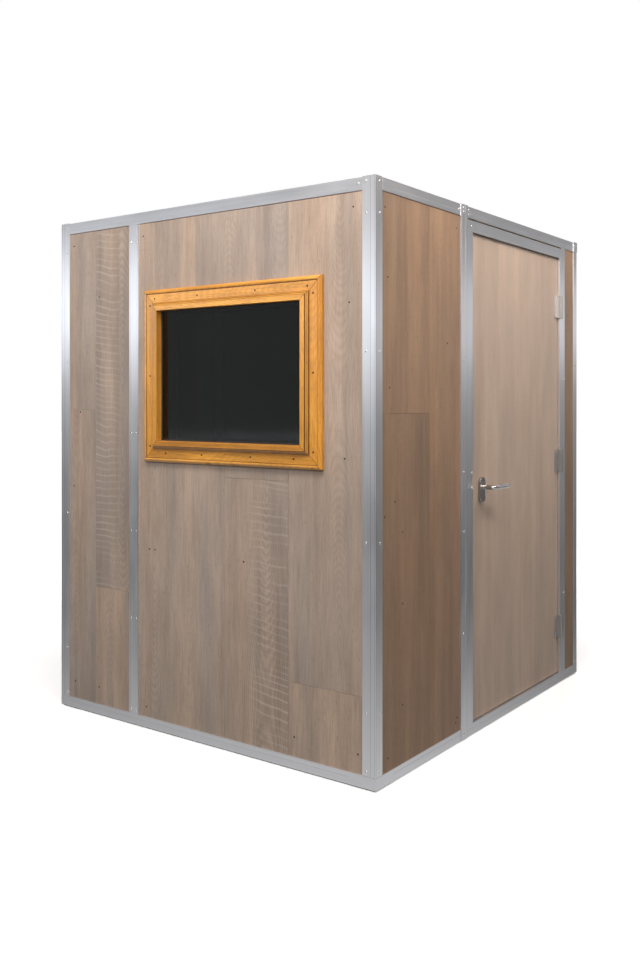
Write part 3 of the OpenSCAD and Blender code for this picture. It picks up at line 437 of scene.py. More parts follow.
def mitre_lines(tree, width):
    """1 along the joints where two lengths of a frame meet, 0 elsewhere."""
    ends = add(tree, "ShaderNodeAttribute", {"attribute_name": "ends"}, {}).outputs["Vector"]
    parts = add(tree, "ShaderNodeSeparateXYZ", {}, {0: ends}).outputs
    return span(tree, calc(tree, "MINIMUM", parts[0], parts[1]), width, LINE_CORE * width)


def shade_lines(tree, places, width):
    """1 along lines of painted shade at the given distances from an edge, 0 elsewhere."""
    rim = add(tree, "ShaderNodeAttribute", {"attribute_name": "rim"}, {}).outputs["Fac"]
    total = None
    for place in places:
        away = calc(tree, "ABSOLUTE", calc(tree, "SUBTRACT", rim, place))
        line = span(tree, away, width, LINE_CORE * width)
        total = line if total is None else calc(tree, "MAXIMUM", total, line)
    return total


print(f"cuts in wood are {CUT_WIDTH / MM} mm wide to either side")

# %% [markdown]
# ## The oak itself
#
# From broad to fine: the tone of the board, the rings, the veneer's bands, the fibres and the
# pores are laid over each other, each a little darker than the last. The same noises that colour
# the wood also raise it, so a pore is both dark and deep, as it is under a fingertip.

# %% The oak recipe
BAR_PALE = (0.60, 0.53, 0.47, 1.0)
# The dark of the painted shade lines and of the mitre joints.
SHADE_AND_JOINT_DARK = (0.10, 0.035, 0.01, 1.0)
# Waves per metre across and along the grain, from slow to fine.
SLOW_WAVES = (5.0, 1.1, 1.0)
TONE_WAVES = (7.0, 0.6, 2.0)
CLOUD_WAVES = (9.0, 2.5, 2.0)
BAND_WAVES = (22.0, 0.9, 3.0)
FIBRE_WAVES = (260.0, 9.0, 1.0)
PORE_WAVES = (520.0, 40.0, 1.0)
# How much of the dark tone each layer adds at full contrast.
IN_RINGS = 0.26
IN_BANDS = 0.45
IN_FIBRES = 0.42
IN_PORES = 0.55
IN_SHADE_AND_JOINTS = 0.85


def oak(name, warm, cool, dark, lacquer, contrast=1.0, coat=0.0, cuts=(), mitred=False):
    """Oak in the given tones, with contrast for how strongly the grain shows."""
    material, tree, shader = new_material(name)
    place, across, along, seed = recorded(tree, "grain")
    _, tone, marks, figure = recorded(tree, "board")
    slow = noise(tree, stretched(tree, place, SLOW_WAVES), detail=3.0)
    broad = noise(tree, stretched(tree, place, TONE_WAVES), detail=3.0)
    bands = noise(tree, stretched(tree, place, BAND_WAVES), detail=4.0, roughness=0.6)
    fibres = noise(tree, stretched(tree, place, FIBRE_WAVES), detail=5.0, roughness=0.7)
    flecks = noise(tree, stretched(tree, place, PORE_WAVES), detail=1.0)
    clouds = noise(tree, stretched(tree, place, CLOUD_WAVES), detail=5.0, roughness=0.6)
    rings = growth_rings(tree, across, along, seed, slow)
    bars = saw_bars(tree, place, across, along, marks)

    warmth = calc(tree, "ADD", calc(tree, "MULTIPLY", tone, 0.35), calc(tree, "MULTIPLY", broad, 1.8))
    warmth = span(tree, warmth, 0.72, 1.42)
    base = blend_colours(tree, warmth, cool, warm)
    ringed = calc(tree, "MULTIPLY", calc(tree, "MULTIPLY", rings, figure), IN_RINGS * contrast)
    base = blend_colours(tree, ringed, base, dark)
    band = span(tree, bands, 0.42, 0.78, 0.0, IN_BANDS * contrast)
    base = blend_colours(tree, band, base, dark)
    streak = span(tree, fibres, 0.44, 0.74, 0.0, IN_FIBRES * contrast)
    base = blend_colours(tree, streak, base, dark)
    pore = span(tree, flecks, 0.64, 0.76, 0.0, IN_PORES * contrast)
    base = blend_colours(tree, pore, base, dark)
    shade = span(tree, clouds, 0.30, 0.70, 1 - 0.16 * contrast, 1 + 0.13 * contrast)
    grey = add(tree, "ShaderNodeCombineColor", {}, {0: shade, 1: shade, 2: shade}).outputs[0]
    base = blend_colours(tree, 1.0, base, grey, "MULTIPLY")
    pale = calc(tree, "MULTIPLY", bars, 0.42)
    base = blend_colours(tree, pale, base, BAR_PALE)
    # Painted shade in the casing's cuts and under the top rail, and the casing's dark mitre joints.
    if cuts:
        cut = shade_lines(tree, cuts, CUT_WIDTH)
        if mitred:
            cut = calc(tree, "MAXIMUM", cut, mitre_lines(tree, CUT_WIDTH))
        base = blend_colours(tree, calc(tree, "MULTIPLY", cut, IN_SHADE_AND_JOINTS), base, SHADE_AND_JOINT_DARK)
    tree.links.new(base, shader.inputs["Base Color"])

    relief = calc(tree, "ADD", calc(tree, "MULTIPLY", bars, 2.0), calc(tree, "MULTIPLY", fibres, 0.4))
    relief = calc(tree, "ADD", relief, calc(tree, "MULTIPLY", ringed, 1.5))
    relief = calc(tree, "SUBTRACT", relief, calc(tree, "MULTIPLY", pore, 0.8))
    tree.links.new(raised(tree, relief, 0.30, 0.5 * MM), shader.inputs["Normal"])
    gloss = span(tree, calc(tree, "ADD", fibres, clouds), 0.6, 1.4, lacquer - 0.07, lacquer + 0.07)
    tree.links.new(gloss, shader.inputs["Roughness"])
    shader.inputs["Coat Weight"].default_value = coat
    shader.inputs["Coat Roughness"].default_value = 0.22
    FINISH[name] = material


print(f"saw bars give back {BAR_PALE[0]:.2f} of the red light, cuts {SHADE_AND_JOINT_DARK[0]:.2f}")

# %% [markdown]
# ## Four tones of it
#
# Lacquer sets how broad the shine is: about a half on matt boards, a third under the casing's
# varnish, which also gets a thin clear coat. The door leaf is the calmest and the casing has the
# strongest grain.

# %% Mix the four oaks
# A painted shadow darkens a thin line of the boards right under the top rail's flange.
flange_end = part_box("cladding_front_window")[1].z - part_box("top_rail_front")[0].z
RAIL_SHADOW_LINE = [flange_end + CUT_WIDTH]
oak("grey_oak_board", colour(192, 169, 150), colour(168, 156, 147), colour(104, 87, 74), 0.50,
    0.85, cuts=RAIL_SHADOW_LINE)
oak("brown_oak_board", colour(176, 142, 113), colour(154, 127, 105), colour(90, 67, 49), 0.50,
    0.8, cuts=RAIL_SHADOW_LINE)
oak("pale_oak_board", colour(208, 185, 166), colour(196, 175, 159), colour(146, 122, 102), 0.52,
    0.6)
# The casing's moulding has its cuts at these distances from its outer edge, painted as shade lines.
CASING_CUTS = [17.5 * MM, 56 * MM, 61 * MM, 67.5 * MM]
oak("golden_oak", colour(246, 180, 74), colour(228, 155, 54), colour(120, 62, 14), 0.32, 1.2, 0.3,
    cuts=CASING_CUTS, mitred=True)
print("oak finishes:", ", ".join(FINISH))

# %% [markdown]
# ## Aluminium as it leaves the die
#
# The profiles are mill-finished and lightly brushed along their length. What shows is less a
# colour than a gradient: the metal mirrors the studio, blurred more across the lines than along
# them. Anisotropic shading could do that, but fine real lines in the relief keep the look in any
# program that opens the model, so the lines are drawn and the roughness is broken up a little.
# Two shallow grooves run down every upright profile, drawn from the distance to its corner as a dip
# in the relief with painted shade in it.

# %% Metals
GROOVE_WIDTH = 1.3 * MM
GROOVE_DEPTH = 3.0
GROOVE_SHADE = 0.45
GROOVE_SHADE_GREY = (0.2, 0.2, 0.2, 1.0)
LINE_RELIEF = 0.15 * MM
PROFILE_GROOVES = [6 * MM, 22.5 * MM]
DULLER = 0.86


def metal(name, tint, rough, lines, smears, cuts=()):
    """Bare metal with lines along each part, faint handling marks and, if given, grooves with painted
    shade.
    """
    material, tree, shader = new_material(name)
    place, _, _, _ = recorded(tree, "grain")
    drawn = noise(tree, stretched(tree, place, (1500.0, 3.0, 1.0)), detail=3.0, roughness=0.7)
    broad = noise(tree, stretched(tree, place, (180.0, 0.6, 1.0)), detail=2.0)
    smear = noise(tree, stretched(tree, place, (22.0, 5.0, 1.0)), detail=3.0, roughness=0.6)
    both = calc(tree, "ADD", calc(tree, "MULTIPLY", drawn, 0.6), calc(tree, "MULTIPLY", broad, 0.4))
    light = span(tree, both, 0.3, 0.7)
    dull = tuple(part * DULLER for part in tint[:3])
    base = blend_colours(tree, light, (*dull, 1.0), tint)
    depth = both
    if cuts:
        # Painted shade darkens the grooves, which also dip in the relief.
        groove = shade_lines(tree, cuts, GROOVE_WIDTH)
        shaded = calc(tree, "MULTIPLY", groove, GROOVE_SHADE)
        base = blend_colours(tree, shaded, base, GROOVE_SHADE_GREY)
        depth = calc(tree, "SUBTRACT", both, calc(tree, "MULTIPLY", groove, GROOVE_DEPTH))
    tree.links.new(base, shader.inputs["Base Color"])
    rubbed = calc(tree, "ADD", calc(tree, "MULTIPLY", both, 0.5), calc(tree, "MULTIPLY", smear, smears))
    low, high = 0.25, 0.25 + 0.5 * smears + 0.25
    tree.links.new(span(tree, rubbed, low, high, rough - 0.05, rough + 0.09),
                   shader.inputs["Roughness"])
    tree.links.new(raised(tree, depth, lines, LINE_RELIEF), shader.inputs["Normal"])
    shader.inputs["Metallic"].default_value = 1.0
    FINISH[name] = material
    return material


metal("aluminium_profile", (0.82, 0.82, 0.84, 1.0), 0.31, 0.12, 0.5, PROFILE_GROOVES)
metal("satin_steel", (0.62, 0.61, 0.60, 1.0), 0.30, 0.06, 0.3)
metal("bright_screw", (0.78, 0.77, 0.76, 1.0), 0.22, 0.02, 0.3)
metal("dark_screw", (0.055, 0.045, 0.04, 1.0), 0.42, 0.02, 0.3)
polished_steel = metal("polished_steel", (0.47, 0.46, 0.45, 1.0), 0.20, 0.01, 0.2)
print("finishes with the metals:", len(FINISH))

# %% [markdown]
# ## The quieter finishes
#
# Felt, mineral wool, rubber, vinyl and plain painted board are seen only at the edges, through the
# open door or from below. Each still gets its own grain: a surface with one flat colour looks like
# a toy beside a surface with none. They share one small recipe with two sizes of noise.

# %% Matt surfaces
def matt(name, tint, speck, amount, grain_size, rough, relief):
    """A plain material mottled by a second tone at a given grain size."""
    material, tree, shader = new_material(name)
    where = add(tree, "ShaderNodeTexCoord", {}, {}).outputs["Object"]
    fine = noise(tree, where, 1 / grain_size, detail=3.0, roughness=0.7)
    wide = noise(tree, where, 0.03 / grain_size, detail=2.0)
    mixed = calc(tree, "ADD", calc(tree, "MULTIPLY", fine, 0.75), calc(tree, "MULTIPLY", wide, 0.25))
    base = blend_colours(tree, span(tree, mixed, 0.38, 0.62, 0.0, amount), tint, speck)
    tree.links.new(base, shader.inputs["Base Color"])
    tree.links.new(span(tree, mixed, 0.3, 0.7, rough - 0.06, rough + 0.06),
                   shader.inputs["Roughness"])
    tree.links.new(raised(tree, fine, relief, grain_size * 0.5), shader.inputs["Normal"])
    FINISH[name] = material
    return shader


felt = matt("felt_board", colour(74, 76, 79), colour(104, 106, 109), 0.8, 1.6 * MM, 0.92, 0.6)
felt.inputs["Sheen Weight"].default_value = 0.4
felt.inputs["Sheen Roughness"].default_value = 0.5
matt("mineral_wool", colour(170, 150, 96), colour(120, 100, 55), 0.9, 3.0 * MM, 0.95, 0.9)
matt("softwood", colour(196, 160, 112), colour(158, 118, 74), 0.7, 9.0 * MM, 0.7, 0.2)
matt("roof_sheet", colour(128, 128, 126), colour(104, 104, 102), 0.8, 5.0 * MM, 0.6, 0.15)
matt("vinyl_floor", colour(86, 86, 88), colour(126, 126, 128), 0.7, 1.1 * MM, 0.45, 0.1)
matt("light_diffuser", colour(236, 236, 232), colour(226, 226, 222), 0.6, 2.0 * MM, 0.35, 0.05)
matt("vent_plastic", colour(206, 206, 202), colour(190, 190, 186), 0.6, 1.5 * MM, 0.42, 0.1)
matt("black_rubber", colour(30, 30, 31), colour(46, 46, 47), 0.7, 1.2 * MM, 0.62, 0.25)
matt("black_liner", colour(20, 20, 20), colour(34, 33, 32), 0.7, 4.0 * MM, 0.5, 0.12)
print("finishes in all:", len(FINISH))

# %% [markdown]
# ## Dark glass
#
# Two panes of tinted float glass close the window, with a wide gap between them to stop sound.
# Glass needs no picture of a room behind it. A transmitting shader with a green-grey tint darkens
# twice, once at each pane, and the studio's soft horizon gives the front pane its faint mirror.
# Float glass is never perfectly flat, so a very slow ripple bends the reflection.

# %% The glass
GLASS_TINT = (0.30, 0.34, 0.34, 1.0)
GLASS_DUSTY = (0.36, 0.40, 0.40, 1.0)
glass, glass_tree, glass_shader = new_material("dark_glass")
glass_place = add(glass_tree, "ShaderNodeTexCoord", {}, {}).outputs["Object"]
ripple = noise(glass_tree, glass_place, 3.0, detail=1.0)
dust = noise(glass_tree, glass_place, 40.0, detail=3.0)
tinted = blend_colours(glass_tree, dust, GLASS_TINT, GLASS_DUSTY)
glass_tree.links.new(tinted, glass_shader.inputs["Base Color"])
glass_tree.links.new(raised(glass_tree, ripple, 0.02, 10 * MM), glass_shader.inputs["Normal"])
glass_shader.inputs["Roughness"].default_value = 0.04
glass_shader.inputs["IOR"].default_value = 1.5
glass_shader.inputs["Transmission Weight"].default_value = 1.0
FINISH["dark_glass"] = glass
print("glass lets through about a third of the light at each pane")

# %% [markdown]
# ## Profiles
#
# Extrusions come out of the die with corner radii of about half a millimetre. That is the whole
# difference between a drawn line and a bright one, so every rail gets it. The uprights have
# rounder corners, which show as a bright thread down their length.

# %% Ease the aluminium
PROFILES = ["bottom_rail_front", "bottom_rail_door_side", "bottom_rails_rear",
            "top_rail_front", "top_rail_door_side", "top_rails_rear",
            "corner_post_front_right", "corner_post_front_left",
            "corner_post_back_right", "corner_post_back_left", "corner_feet",
            "joint_profile_front", "joint_profiles_rear", "door_post_latch", "door_post_hinge",
            "roof_ledge", "door_frame_head", "door_frame_latch_jamb",
            "door_frame_hinge_jamb", "door_threshold", "door_stops", "post_caps"]
PROFILE_RADIUS = 0.45 * MM
POST_RADIUS = 1.2 * MM
UPRIGHTS = ("corner_post", "door_post", "joint_profile", "door_frame_latch", "door_frame_hinge")


def upright_rim(mesh):
    """Each upright is measured from its own corners."""
    record_rim(mesh, from_corner, part_by_part=True)


for profile in PROFILES:
    if profile.startswith(UPRIGHTS):
        eased(profile, POST_RADIUS, "aluminium_profile", record=upright_rim)
    else:
        eased(profile, PROFILE_RADIUS, "aluminium_profile")
print(f"{len(PROFILES)} groups of profiles eased by {PROFILE_RADIUS / MM} or {POST_RADIUS / MM} mm")

# %% [markdown]
# ## Cladding boards
#
# The boards are ripped from wide veneered sheets, so neighbours come from different trees: each
# gets its own tone, its own pith and its own luck with the saw. Two boards on the window wall kept
# clear saw bars. They are picked by a point that lies on them, which still finds them when the
# booth changes size.

# %% Ease the boards and give each its character
BOARD_EDGE = 0.8 * MM
window_low, window_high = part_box("window_pane_outside")
window_middle = (window_low + window_high) / 2
narrow_low, narrow_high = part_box("cladding_front_narrow")
# A point on each sawn board, and the side of it that kept the bars: -1 left, 1 right.
SAWN_BOARDS = [(narrow_high.x - 100 * MM, 1.0, -1.0), (window_middle.x + 136 * MM, 0.6, 1.0)]
SAWN_TONE = 0.35
WINDOW_WALL_SKIN = 60 * MM


def cladding_board(low, high, chance):
    """Random tone and figure, with saw bars on the two boards picked out above."""
    tone = chance.uniform(0.0, 1.0)
    figure = chance.uniform(0.1, 0.6)
    on_window_wall = high.y < cad_low.y + WINDOW_WALL_SKIN
    for x, z, marked_side in SAWN_BOARDS:
        if on_window_wall and low.x < x < high.x and low.z < z < high.z:
            return (SAWN_TONE, marked_side, 1.0)
    return (tone, 0.0, figure)


def board_rim(mesh):
    """All boards of a panel are measured from the panel's top, for the painted shadow under the rail.
    """
    record_rim(mesh, below_top, part_by_part=False)


CLADDING = {"cladding_front_narrow": "grey_oak_board", "cladding_front_window": "grey_oak_board",
            "cladding_back": "grey_oak_board", "cladding_left": "grey_oak_board",
            "cladding_door_side": "brown_oak_board", "cladding_filler": "brown_oak_board"}
for panel, board_finish in CLADDING.items():
    eased(panel, BOARD_EDGE, board_finish, cladding_board, upright=True, record=board_rim)
print(f"{len(CLADDING)} panels of boards, seams open by {2 * BOARD_EDGE / MM:.1f} mm more")

# %% [markdown]
# ## The window
#
# Four lengths of moulded oak are mitred like a picture frame. Because each length is a part of
# its own, its grain already runs along it and meets its neighbour at the mitre, as in the real
# thing. Each length also notes how far a point is from the mitres at its two ends, so that the
# joint shows as a thin dark line. Behind the casing come a black liner, gaskets and two panes.

# %% Casing, liner, gaskets and panes
def casing_length(low, high, chance):
    """Straight-grained golden oak, one length warmer than the next."""
    return (chance.uniform(0.2, 0.9), 0.0, chance.uniform(0.35, 0.6))


def record_mitres(mesh):
    """Writes how far a point lies, along its length, from the mitre at either end."""
    ends = mesh.verts.layers.float_vector.new("ends")
    low, high = box_of(mesh.verts)
    for part in loose_parts(mesh):
        part_low, part_high = box_of(part)
        lying = part_high.x - part_low.x > part_high.z - part_low.z
        for v in part:
            from_left = v.co.x - low.x
            from_right = high.x - v.co.x
            from_foot = v.co.z - low.z
            from_head = high.z - v.co.z
            if lying:
                rim = min(from_foot, from_head)
                v[ends] = (from_left - rim, from_right - rim, 0.0)
            else:
                rim = min(from_left, from_right)
                v[ends] = (from_foot - rim, from_head - rim, 0.0)


def casing_records(mesh):
    """The moulding's cuts are measured on the whole frame, and its mitres on each length."""
    record_rim(mesh, from_outer_edge, part_by_part=False)
    record_mitres(mesh)


eased("window_casing_outside", 0.35 * MM, "golden_oak", casing_length, record=casing_records)
eased("window_casing_inside", 0.8 * MM, "golden_oak", casing_length)
eased("window_liner", 0.4 * MM, "black_liner")
eased("glazing_seal", 0.8 * MM, "black_rubber")
panes = [eased("window_pane_outside", 0.5 * MM, "dark_glass"),
         eased("window_pane_inside", 0.5 * MM, "dark_glass")]
glass_size = window_high - window_low
print(f"window glass {glass_size.x:.3f} by {glass_size.z:.3f} m")

# %% [markdown]
# ## The door leaf
#
# The leaf is a sandwich: two oak-faced skins on a heavy core. Its outer skin is one wide veneer
# sheet, so it has calm, straight grain and no seams, only soft bands where the veneer leaves were
# laid side by side. The core shows at the edges when the door stands open.

# %% Skins, core and lock
def leaf_sheet(low, high, chance):
    """Calm straight veneer."""
    return (0.5, 0.0, 0.08)


eased("door_skin_outside", 0.9 * MM, "pale_oak_board", leaf_sheet)
eased("door_skin_inside", 0.9 * MM, "pale_oak_board", leaf_sheet)
eased("door_core", 0.2 * MM, "softwood", leaf_sheet)
eased("lock_case", 0.3 * MM, "satin_steel")
eased("latch_bolt", 0.6 * MM, "satin_steel")
eased("lever_spindle", 0.3 * MM, "satin_steel")
eased("strike_plate", 0.3 * MM, "satin_steel")
eased("door_seal", 1.2 * MM, "black_rubber")
leaf_low, leaf_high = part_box("door_skin_outside")
print(f"door leaf {leaf_high.y - leaf_low.y:.3f} by {leaf_high.z - leaf_low.z:.3f} m")

# %% [markdown]
# ## The lever handle
#
# The lever is three turned pieces: a polished neck that comes straight out of the backplate, an
# elbow, and a satin grip, with a thin recessed ring between them whose black finish is a painted
# shadow at the joint. A tube bent along a curve would be quicker, but it loses the ring and the
# change of finish, so rings of points are laid along the neck, round the elbow and down the grip,
# with a radius for each, and skinned one to the next.

# %% Rings and the skin between them
AROUND = 40


def ring_at(mesh, centre, direction, radius):
    """A circle of points facing along a direction that lies in the floor's plane."""
    up = Vector((0, 0, 1))
    side = direction.cross(up).normalized()
    points = []
    for step in range(AROUND):
        angle = 2 * math.pi * step / AROUND
        offset = side * math.cos(angle) + up * math.sin(angle)
        points.append(mesh.verts.new(centre + offset * radius))
    return points


def skin_rings(mesh, rings, finishes):
    """Walls between neighbouring rings, closed at both ends."""
    for number in range(len(rings) - 1):
        here, there = rings[number], rings[number + 1]
        for step in range(AROUND):
            after = (step + 1) % AROUND
            wall = mesh.faces.new((here[step], here[after], there[after], there[step]))
            wall.material_index = finishes[number]
    mesh.faces.new(list(reversed(rings[0]))).material_index = finishes[0]
    mesh.faces.new(rings[-1]).material_index = finishes[-1]


print(f"{AROUND} points round every ring of a lever")

# %% Build the two levers
NECK_R = 9.5 * MM
GRIP_R = 10 * MM
ELBOW_R = 12 * MM
ELBOW_STEPS = 10
END_R = 3 * MM
END_STEPS = 5
RING_R = 8.7 * MM
LEVER_METALS = [polished_steel, FINISH["satin_steel"], FINISH["black_rubber"]]
# The ring is a shallow recess, black as a painted shadow at the joint.
NECK, GRIP, JOINT_SHADOW_RING = range(3)
# Distance from the elbow, radius and finish where the neck ends, the ring lies and the grip starts.
GRIP_START = [(3.5 * MM, NECK_R, NECK), (4.0 * MM, NECK_R - 0.5 * MM, JOINT_SHADOW_RING),
              (4.1 * MM, RING_R, JOINT_SHADOW_RING), (6.6 * MM, RING_R, JOINT_SHADOW_RING),
              (6.7 * MM, GRIP_R - 0.6 * MM, GRIP), (7.3 * MM, GRIP_R, GRIP)]


def lever(node, out):
    """out is +1 for the lever outside the booth and -1 for the one inside."""
    low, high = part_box(node)
    leaf_face, grip_face = (low.x, high.x) if out > 0 else (high.x, low.x)
    grip_x = grip_face - out * GRIP_R
    elbow_x = grip_x - out * ELBOW_R
    # The spindle's axis is one neck radius in from the lever's edge.
    axis = Vector((0, low.y + NECK_R, (low.z + high.z) / 2))
    outward = Vector((out, 0, 0))
    along = Vector((0, 1, 0))
    mesh = bmesh.new()
    rings, finishes = [], []

    def lay(centre, direction, radius, finish):
        rings.append(ring_at(mesh, centre, direction, radius))
        finishes.append(finish)

    for x in (leaf_face, elbow_x):
        lay(Vector((x, axis.y, axis.z)), outward, NECK_R, NECK)
    pivot = Vector((elbow_x, axis.y + ELBOW_R, axis.z))
    for step in range(1, ELBOW_STEPS + 1):
        angle = math.pi / 2 * step / ELBOW_STEPS
        place = pivot + outward * ELBOW_R * math.sin(angle) - along * ELBOW_R * math.cos(angle)
        heading = outward * math.cos(angle) + along * math.sin(angle)
        lay(place, heading, NECK_R, NECK)
    for distance, radius, finish in GRIP_START:
        lay(Vector((grip_x, pivot.y + distance, axis.z)), along, radius, finish)
    for step in range(END_STEPS + 1):
        angle = math.pi / 2 * step / END_STEPS
        y = high.y - END_R + END_R * math.sin(angle)
        radius = GRIP_R - END_R + END_R * math.cos(angle)
        lay(Vector((grip_x, y, axis.z)), along, radius, GRIP)
    skin_rings(mesh, rings, finishes)
    bmesh.ops.recalc_face_normals(mesh, faces=mesh.faces)
    record_grain(mesh, node, plain_part)
    return stand_for(as_piece(mesh, node + "_turned", LEVER_METALS), node)


for lever_node, outwards in (("lever_outside", 1), ("lever_inside", -1)):
    made = lever(lever_node, outwards)
    print(f"{made.name}: {len(made.data.polygons)} faces")

# %% [markdown]
# ## Backplates and hinges
#
# The backplate is a stadium-shaped shell, rounded over at its front edge, so its solid is eased
# with a larger radius. The hinges are lift-off hinges: a pin stands in the lower knuckle, and the
# door's knuckle drops over it. The screws that hold the leaves come with the other screws.

# %% Rounded plates and knuckles
PLATE_ROUND = 1.6 * MM
HINGE_ROUND = 0.35 * MM
plates = eased("backplates", PLATE_ROUND, "satin_steel", steps=4)
plates.data.materials[0] = polished_steel
for halves in ("hinge_frame_halves", "hinge_door_halves"):
    half = eased(halves, HINGE_ROUND, "satin_steel")
    print(f"{half.name}: {len(half.data.polygons)} faces")

# %% [markdown]
# ## Screws
#
# A screw head is tiny, and yet a row of plain discs is the first thing that looks wrong up close.
# Each head is turned from a short outline, and its recess is cut by letting the inner rings follow
# a cross instead of a circle. The places come from the solids in the frame: each one is thin
# along the way it is driven, and its outer face looks away from the booth's middle.

# %% Make one head
HEAD_STEPS = 24
CROSS_WAIST = 0.45


def head_outline(radius, height, domed):
    """Radius, height and whether it belongs to the recess, from the rim inwards."""
    if domed:
        return [(radius, 0.0, False), (radius, 0.35 * height, False),
                (0.93 * radius, 0.68 * height, False), (0.76 * radius, 0.9 * height, False),
                (0.62 * radius, height, False), (0.50 * radius, height, True),
                (0.46 * radius, 0.82 * height, True), (0.34 * radius, 0.25 * height, True)]
    return [(radius, 0.0, False), (radius, 0.7 * height, False),
            (0.93 * radius, height, False), (0.66 * radius, 0.8 * height, False),
            (0.50 * radius, 0.75 * height, True), (0.36 * radius, 0.15 * height, True)]


def drive_screw(mesh, centre, normal, radius, height, domed, twist):
    """Adds one head to a mesh. The cross of its recess is turned by twist."""
    up = Vector((0, 0, 1)) if abs(normal.z) < 0.9 else Vector((1, 0, 0))
    side = normal.cross(up).normalized()
    other = normal.cross(side)
    rings = []
    for reach, rise, recessed in head_outline(radius, height, domed):
        ring = []
        for step in range(HEAD_STEPS):
            angle = 2 * math.pi * step / HEAD_STEPS
            arm = abs(math.cos(2 * (angle + twist))) ** 3
            cross = CROSS_WAIST + (1 - CROSS_WAIST) * arm if recessed else 1.0
            offset = (side * math.cos(angle) + other * math.sin(angle)) * reach * cross
            ring.append(mesh.verts.new(centre + offset + normal * rise))
        rings.append(ring)
    for here, there in zip(rings, rings[1:]):
        for step in range(HEAD_STEPS):
            after = (step + 1) % HEAD_STEPS
            mesh.faces.new((here[step], here[after], there[after], there[step]))
    mesh.faces.new(rings[-1])
    mesh.faces.new(list(reversed(rings[0])))


print(f"a pan head has {len(head_outline(1, 1, True))} rings, a flat one two fewer")

# %% Drive the screws of the frame, the boards and the casing
def screw_group(node, slot, domed):
    """Every screw of a node, each with its recess at its own angle."""
    solids = solid_mesh(node)
    mesh = bmesh.new()
    chance = random.Random(node)
    count = 0
    for part in loose_parts(solids):
        low, high = box_of(part)
        depth_axis = min(range(3), key=lambda axis: high[axis] - low[axis])
        middle = (low + high) / 2
        normal = Vector((0, 0, 0))
        normal[depth_axis] = math.copysign(1.0, middle[depth_axis])
        height = high[depth_axis] - low[depth_axis]
        radius = (high.z - low.z) / 2
        seat = middle - normal * height / 2
        drive_screw(mesh, seat, normal, radius, height, domed, chance.uniform(0, math.pi))
        count += 1
    solids.free()
    bmesh.ops.recalc_face_normals(mesh, faces=mesh.faces)
    record_grain(mesh, node, plain_part)
    stand_for(as_piece(mesh, node + "_driven", [FINISH[slot]]), node)
    return count


for screws, screw_finish, pan_head in (("frame_screws", "bright_screw", True),
                                       ("cladding_screws", "dark_screw", False),
                                       ("casing_screws", "dark_screw", False)):
    print(screws, screw_group(screws, screw_finish, pan_head))

# %% [markdown]
# ## Hinge screws
#
# Each leaf of a hinge is held by three raised countersunk screws. Their places aren't solids of
# the frame, so they are found on it: a line is sent at each leaf from in front, and where it
# meets metal there goes a screw, sunk a little into the leaf.

# %% Find the leaves and drive their screws
HINGE_SCREW_R = 3.1 * MM
HINGE_SCREW_H = 1.2 * MM
SUNK = 0.4 * MM
SCREWS_OUT = 0.66
SCREWS_UP = (0.14, 0.5, 0.86)
IN_FRONT = 50 * MM
hinge_y = frame["record"]["behaviour"]["joints"][0]["pos_m"][1]


def hinge_screws(node, piece_name):
    """Three screws down the middle of every leaf of a hinge."""
    solids = solid_mesh(node)
    surface = BVHTree.FromBMesh(solids)
    mesh = bmesh.new()
    chance = random.Random(node)
    driven = 0
    for part in loose_parts(solids):
        low, high = box_of(part)
        # The leaf lies on the side of the pin where the solid reaches further.
        outer_y = high.y if high.y - hinge_y > hinge_y - low.y else low.y
        leaf_y = hinge_y + (outer_y - hinge_y) * SCREWS_OUT
        for share in SCREWS_UP:
            z = low.z + (high.z - low.z) * share
            start = Vector((high.x + IN_FRONT, leaf_y, z))
            spot, normal, _, _ = surface.ray_cast(start, Vector((-1, 0, 0)))
            if spot:
                drive_screw(mesh, spot - normal * SUNK, normal, HINGE_SCREW_R, HINGE_SCREW_H,
                            True, chance.uniform(0, math.pi))
                driven += 1
    solids.free()
    bmesh.ops.recalc_face_normals(mesh, faces=mesh.faces)
    record_grain(mesh, piece_name, plain_part)
    piece = as_piece(mesh, piece_name, [FINISH["bright_screw"]])
    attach(piece, BODY_OF[node])
    return driven


print("frame leaves:", hinge_screws("hinge_frame_halves", "hinge_screws_frame"))
print("door leaves:", hinge_screws("hinge_door_halves", "hinge_screws_door"))

# %% [markdown]
# ## Floor, roof and cabin
#
# Nobody sees these from outside until the door swings open, but they are what the booth is for:
# felt-faced linings, a vinyl floor, a flat light and a vent in the ceiling. They are simple
# boards, so easing their edges is enough. The light's cover gets the widest rounding.

# %% Cabin pieces
CABIN = {"wall_linings": ("felt_board", 1.0), "ceiling_lining": ("felt_board", 1.0),
         "floor_covering": ("vinyl_floor", 0.6), "floor_deck": ("softwood", 0.6),
         "roof_board": ("roof_sheet", 0.8), "ceiling_vent": ("vent_plastic", 0.5),
         "isolation_strips": ("black_rubber", 0.8), "ceiling_light": ("light_diffuser", 2.0),
         "timber_frame": ("softwood", 0.8), "insulation": ("mineral_wool", 1.0)}
for cabin_node, (cabin_finish, radius_mm) in CABIN.items():
    eased(cabin_node, radius_mm * MM, cabin_finish)
print(f"{len(CABIN)} groups inside the walls, the floor and the roof")

# %% [markdown]
# ## The studio floor
#
# The booth stands on a pale seamless floor. A curved sheet is the usual way to lose the horizon,
# but here a flat disc is enough: far from the lamps it glows by itself, so that it meets the
# bright air without a line. Its glow would also light the walls from below, where they ought to
# get darker, so the walls neither take light from it nor mirror it.

